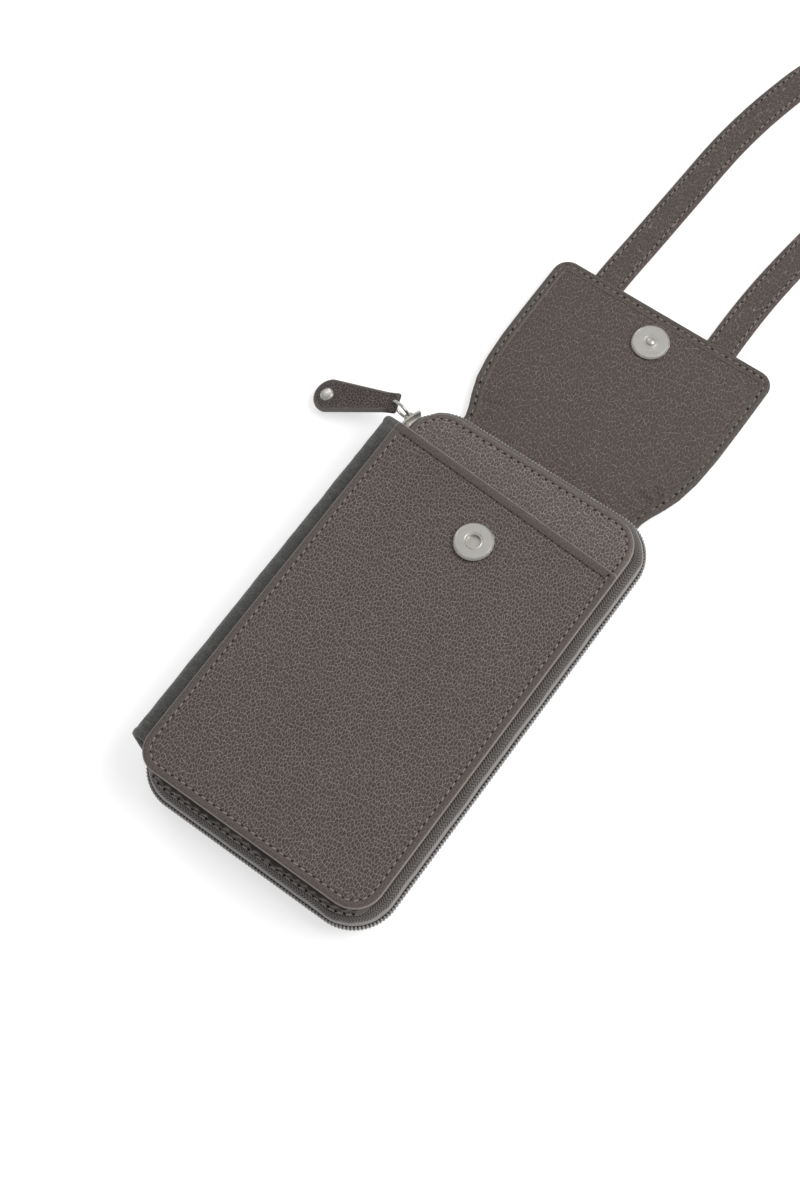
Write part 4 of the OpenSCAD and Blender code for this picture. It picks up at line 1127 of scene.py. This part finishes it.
def tab_half(s):
    s = float(s)
    if s < -1.6:
        return 3.7 + (s + 2.2)
    if s < 3:
        return 4.3
    if s < 27.7:
        return 4.3 + (s - 3) / 24.7 * 2.93
    return math.sqrt(max(7.3**2 - (s - 26.7) ** 2, 0))


ts = np.concatenate([np.arange(-2.2, 27.7, 0.8), 26.7 + 7.3 * np.sin(np.radians(np.linspace(8, 90, 22)))])
T_OUT = np.concatenate([[(tab_half(s), s) for s in ts], [(-tab_half(s), s) for s in ts[::-1]]])
tw = Waves(101, 9)


def tab_top(x, y, d, s):
    z = 1.0 - edge(d, 0.95) + 0.12 * bell(d, 0.9, 0.5) - 0.06 * step01(d, 1.4, 3.0)
    z = z + 0.28 * (1 - step01(y, 1.5, 4.5)) * step01(d, 0.2, 1.0) + 0.03 * tw(x, y) * step01(d, 1, 2)
    z = z - 0.12 * bell(y, 5.2, 0.35) * step01(d, 0.6, 1.2)
    snap = np.hypot(x, y - 28.2)
    return z + (1.0 - z) * (1 - step01(snap, 2.9, 3.6)) * (d > 0.9)


def tab_bot(x, y, d, s):
    return -1.0 + edge(d, 0.95) - 0.20 * (1 - step01(y, 1.5, 4.5)) * step01(d, 0.2, 1.0)


def place_tab(V):
    return HOLE + V[:, 1:2] * ax + V[:, 0:1] * -sx + V[:, 2:3] * nz


t_rows = sorted(set([-2.2, -2.05, -1.8, -1.5, -1.2, -0.8] + list(np.round(np.arange(0, 30, 0.9), 3)) + [34 - x for x in (0, 0.05, 0.15, 0.35, 0.65, 1.0, 1.4, 1.9, 2.5, 3.2)]))
# the tab's rim is lighter, more on the top face than the bottom: partly the edge's own finish, partly painted highlight
tab = skin("pull_tab_leather", lambda y: -tab_half(y), tab_half, t_rows, T_OUT, tab_top, tab_bot, M_PULL, ds=[0, 0.05, 0.18, 0.4, 0.7, 1.0, 1.35, 1.8, 2.4], step=0.8,
           post=place_tab, rim=lambda x, y, d, s, t: (1 - step01(d, 0.55, 1.6)) * (0.9 if t else 0.5) * step01(y, 0.5, 4))
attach(tab, "tab")
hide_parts("pull_tab")

# ---------------------------------------------------------------- metal parts keep their CAD shape
for n in ("zip_slider", "pull_ring", "pull_rivet", "zip_stops", "pocket_snap_washer", "flap_snap_washer"):
    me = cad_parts[n].data
    me.materials.clear()
    me.materials.append(M_NICKEL)
for n, m in (("pocket_snap", M_SNAP_A), ("flap_snap", M_SNAP_B)):
    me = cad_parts[n].data
    me.materials.clear()
    me.materials.append(m)

# ---------------------------------------------------------------- floor and light
fm, ft, fadd = material("floor_look")
fb = fadd("BsdfPrincipled", Base_Color=(0.62, 0.62, 0.62, 1), Roughness=0.8)
fb.inputs["Specular IOR Level"].default_value = 0.1
fb.inputs["Emission Color"].default_value = (1, 1, 1, 1)
fb.inputs["Emission Strength"].default_value = 0.56
fadd("OutputMaterial", Surface=fb.outputs[0])
bpy.ops.mesh.primitive_plane_add(size=12, location=(0, 0, -0.0002))
floor = bpy.context.object
floor.name = "floor"
floor.data.materials.append(fm)

world = bpy.data.worlds.new("studio")
bpy.context.scene.world = world
world.use_nodes = True
world.node_tree.nodes["Background"].inputs[0].default_value = (1, 1, 1, 1)
world.node_tree.nodes["Background"].inputs[1].default_value = 0.5


def area(name, place, aim, size, power):
    d = bpy.data.lights.new(name, "AREA")
    d.shape = "RECTANGLE"
    d.size, d.size_y = size
    d.energy = power
    o = bpy.data.objects.new(name, d)
    bpy.context.scene.collection.objects.link(o)
    o.location = place
    o.rotation_euler = (Vector(aim) - Vector(place)).to_track_quat("-Z", "Y").to_euler()
    return o


area("key", (1.04, 0.65, 1.43), (0, 0, 0), (1.1, 1.1), 24)
area("fill", (-1.3, 0.9, 1.2), (0, 0, 0), (1.0, 1.0), 6)
bpy.context.scene.view_settings.view_transform = "Standard"
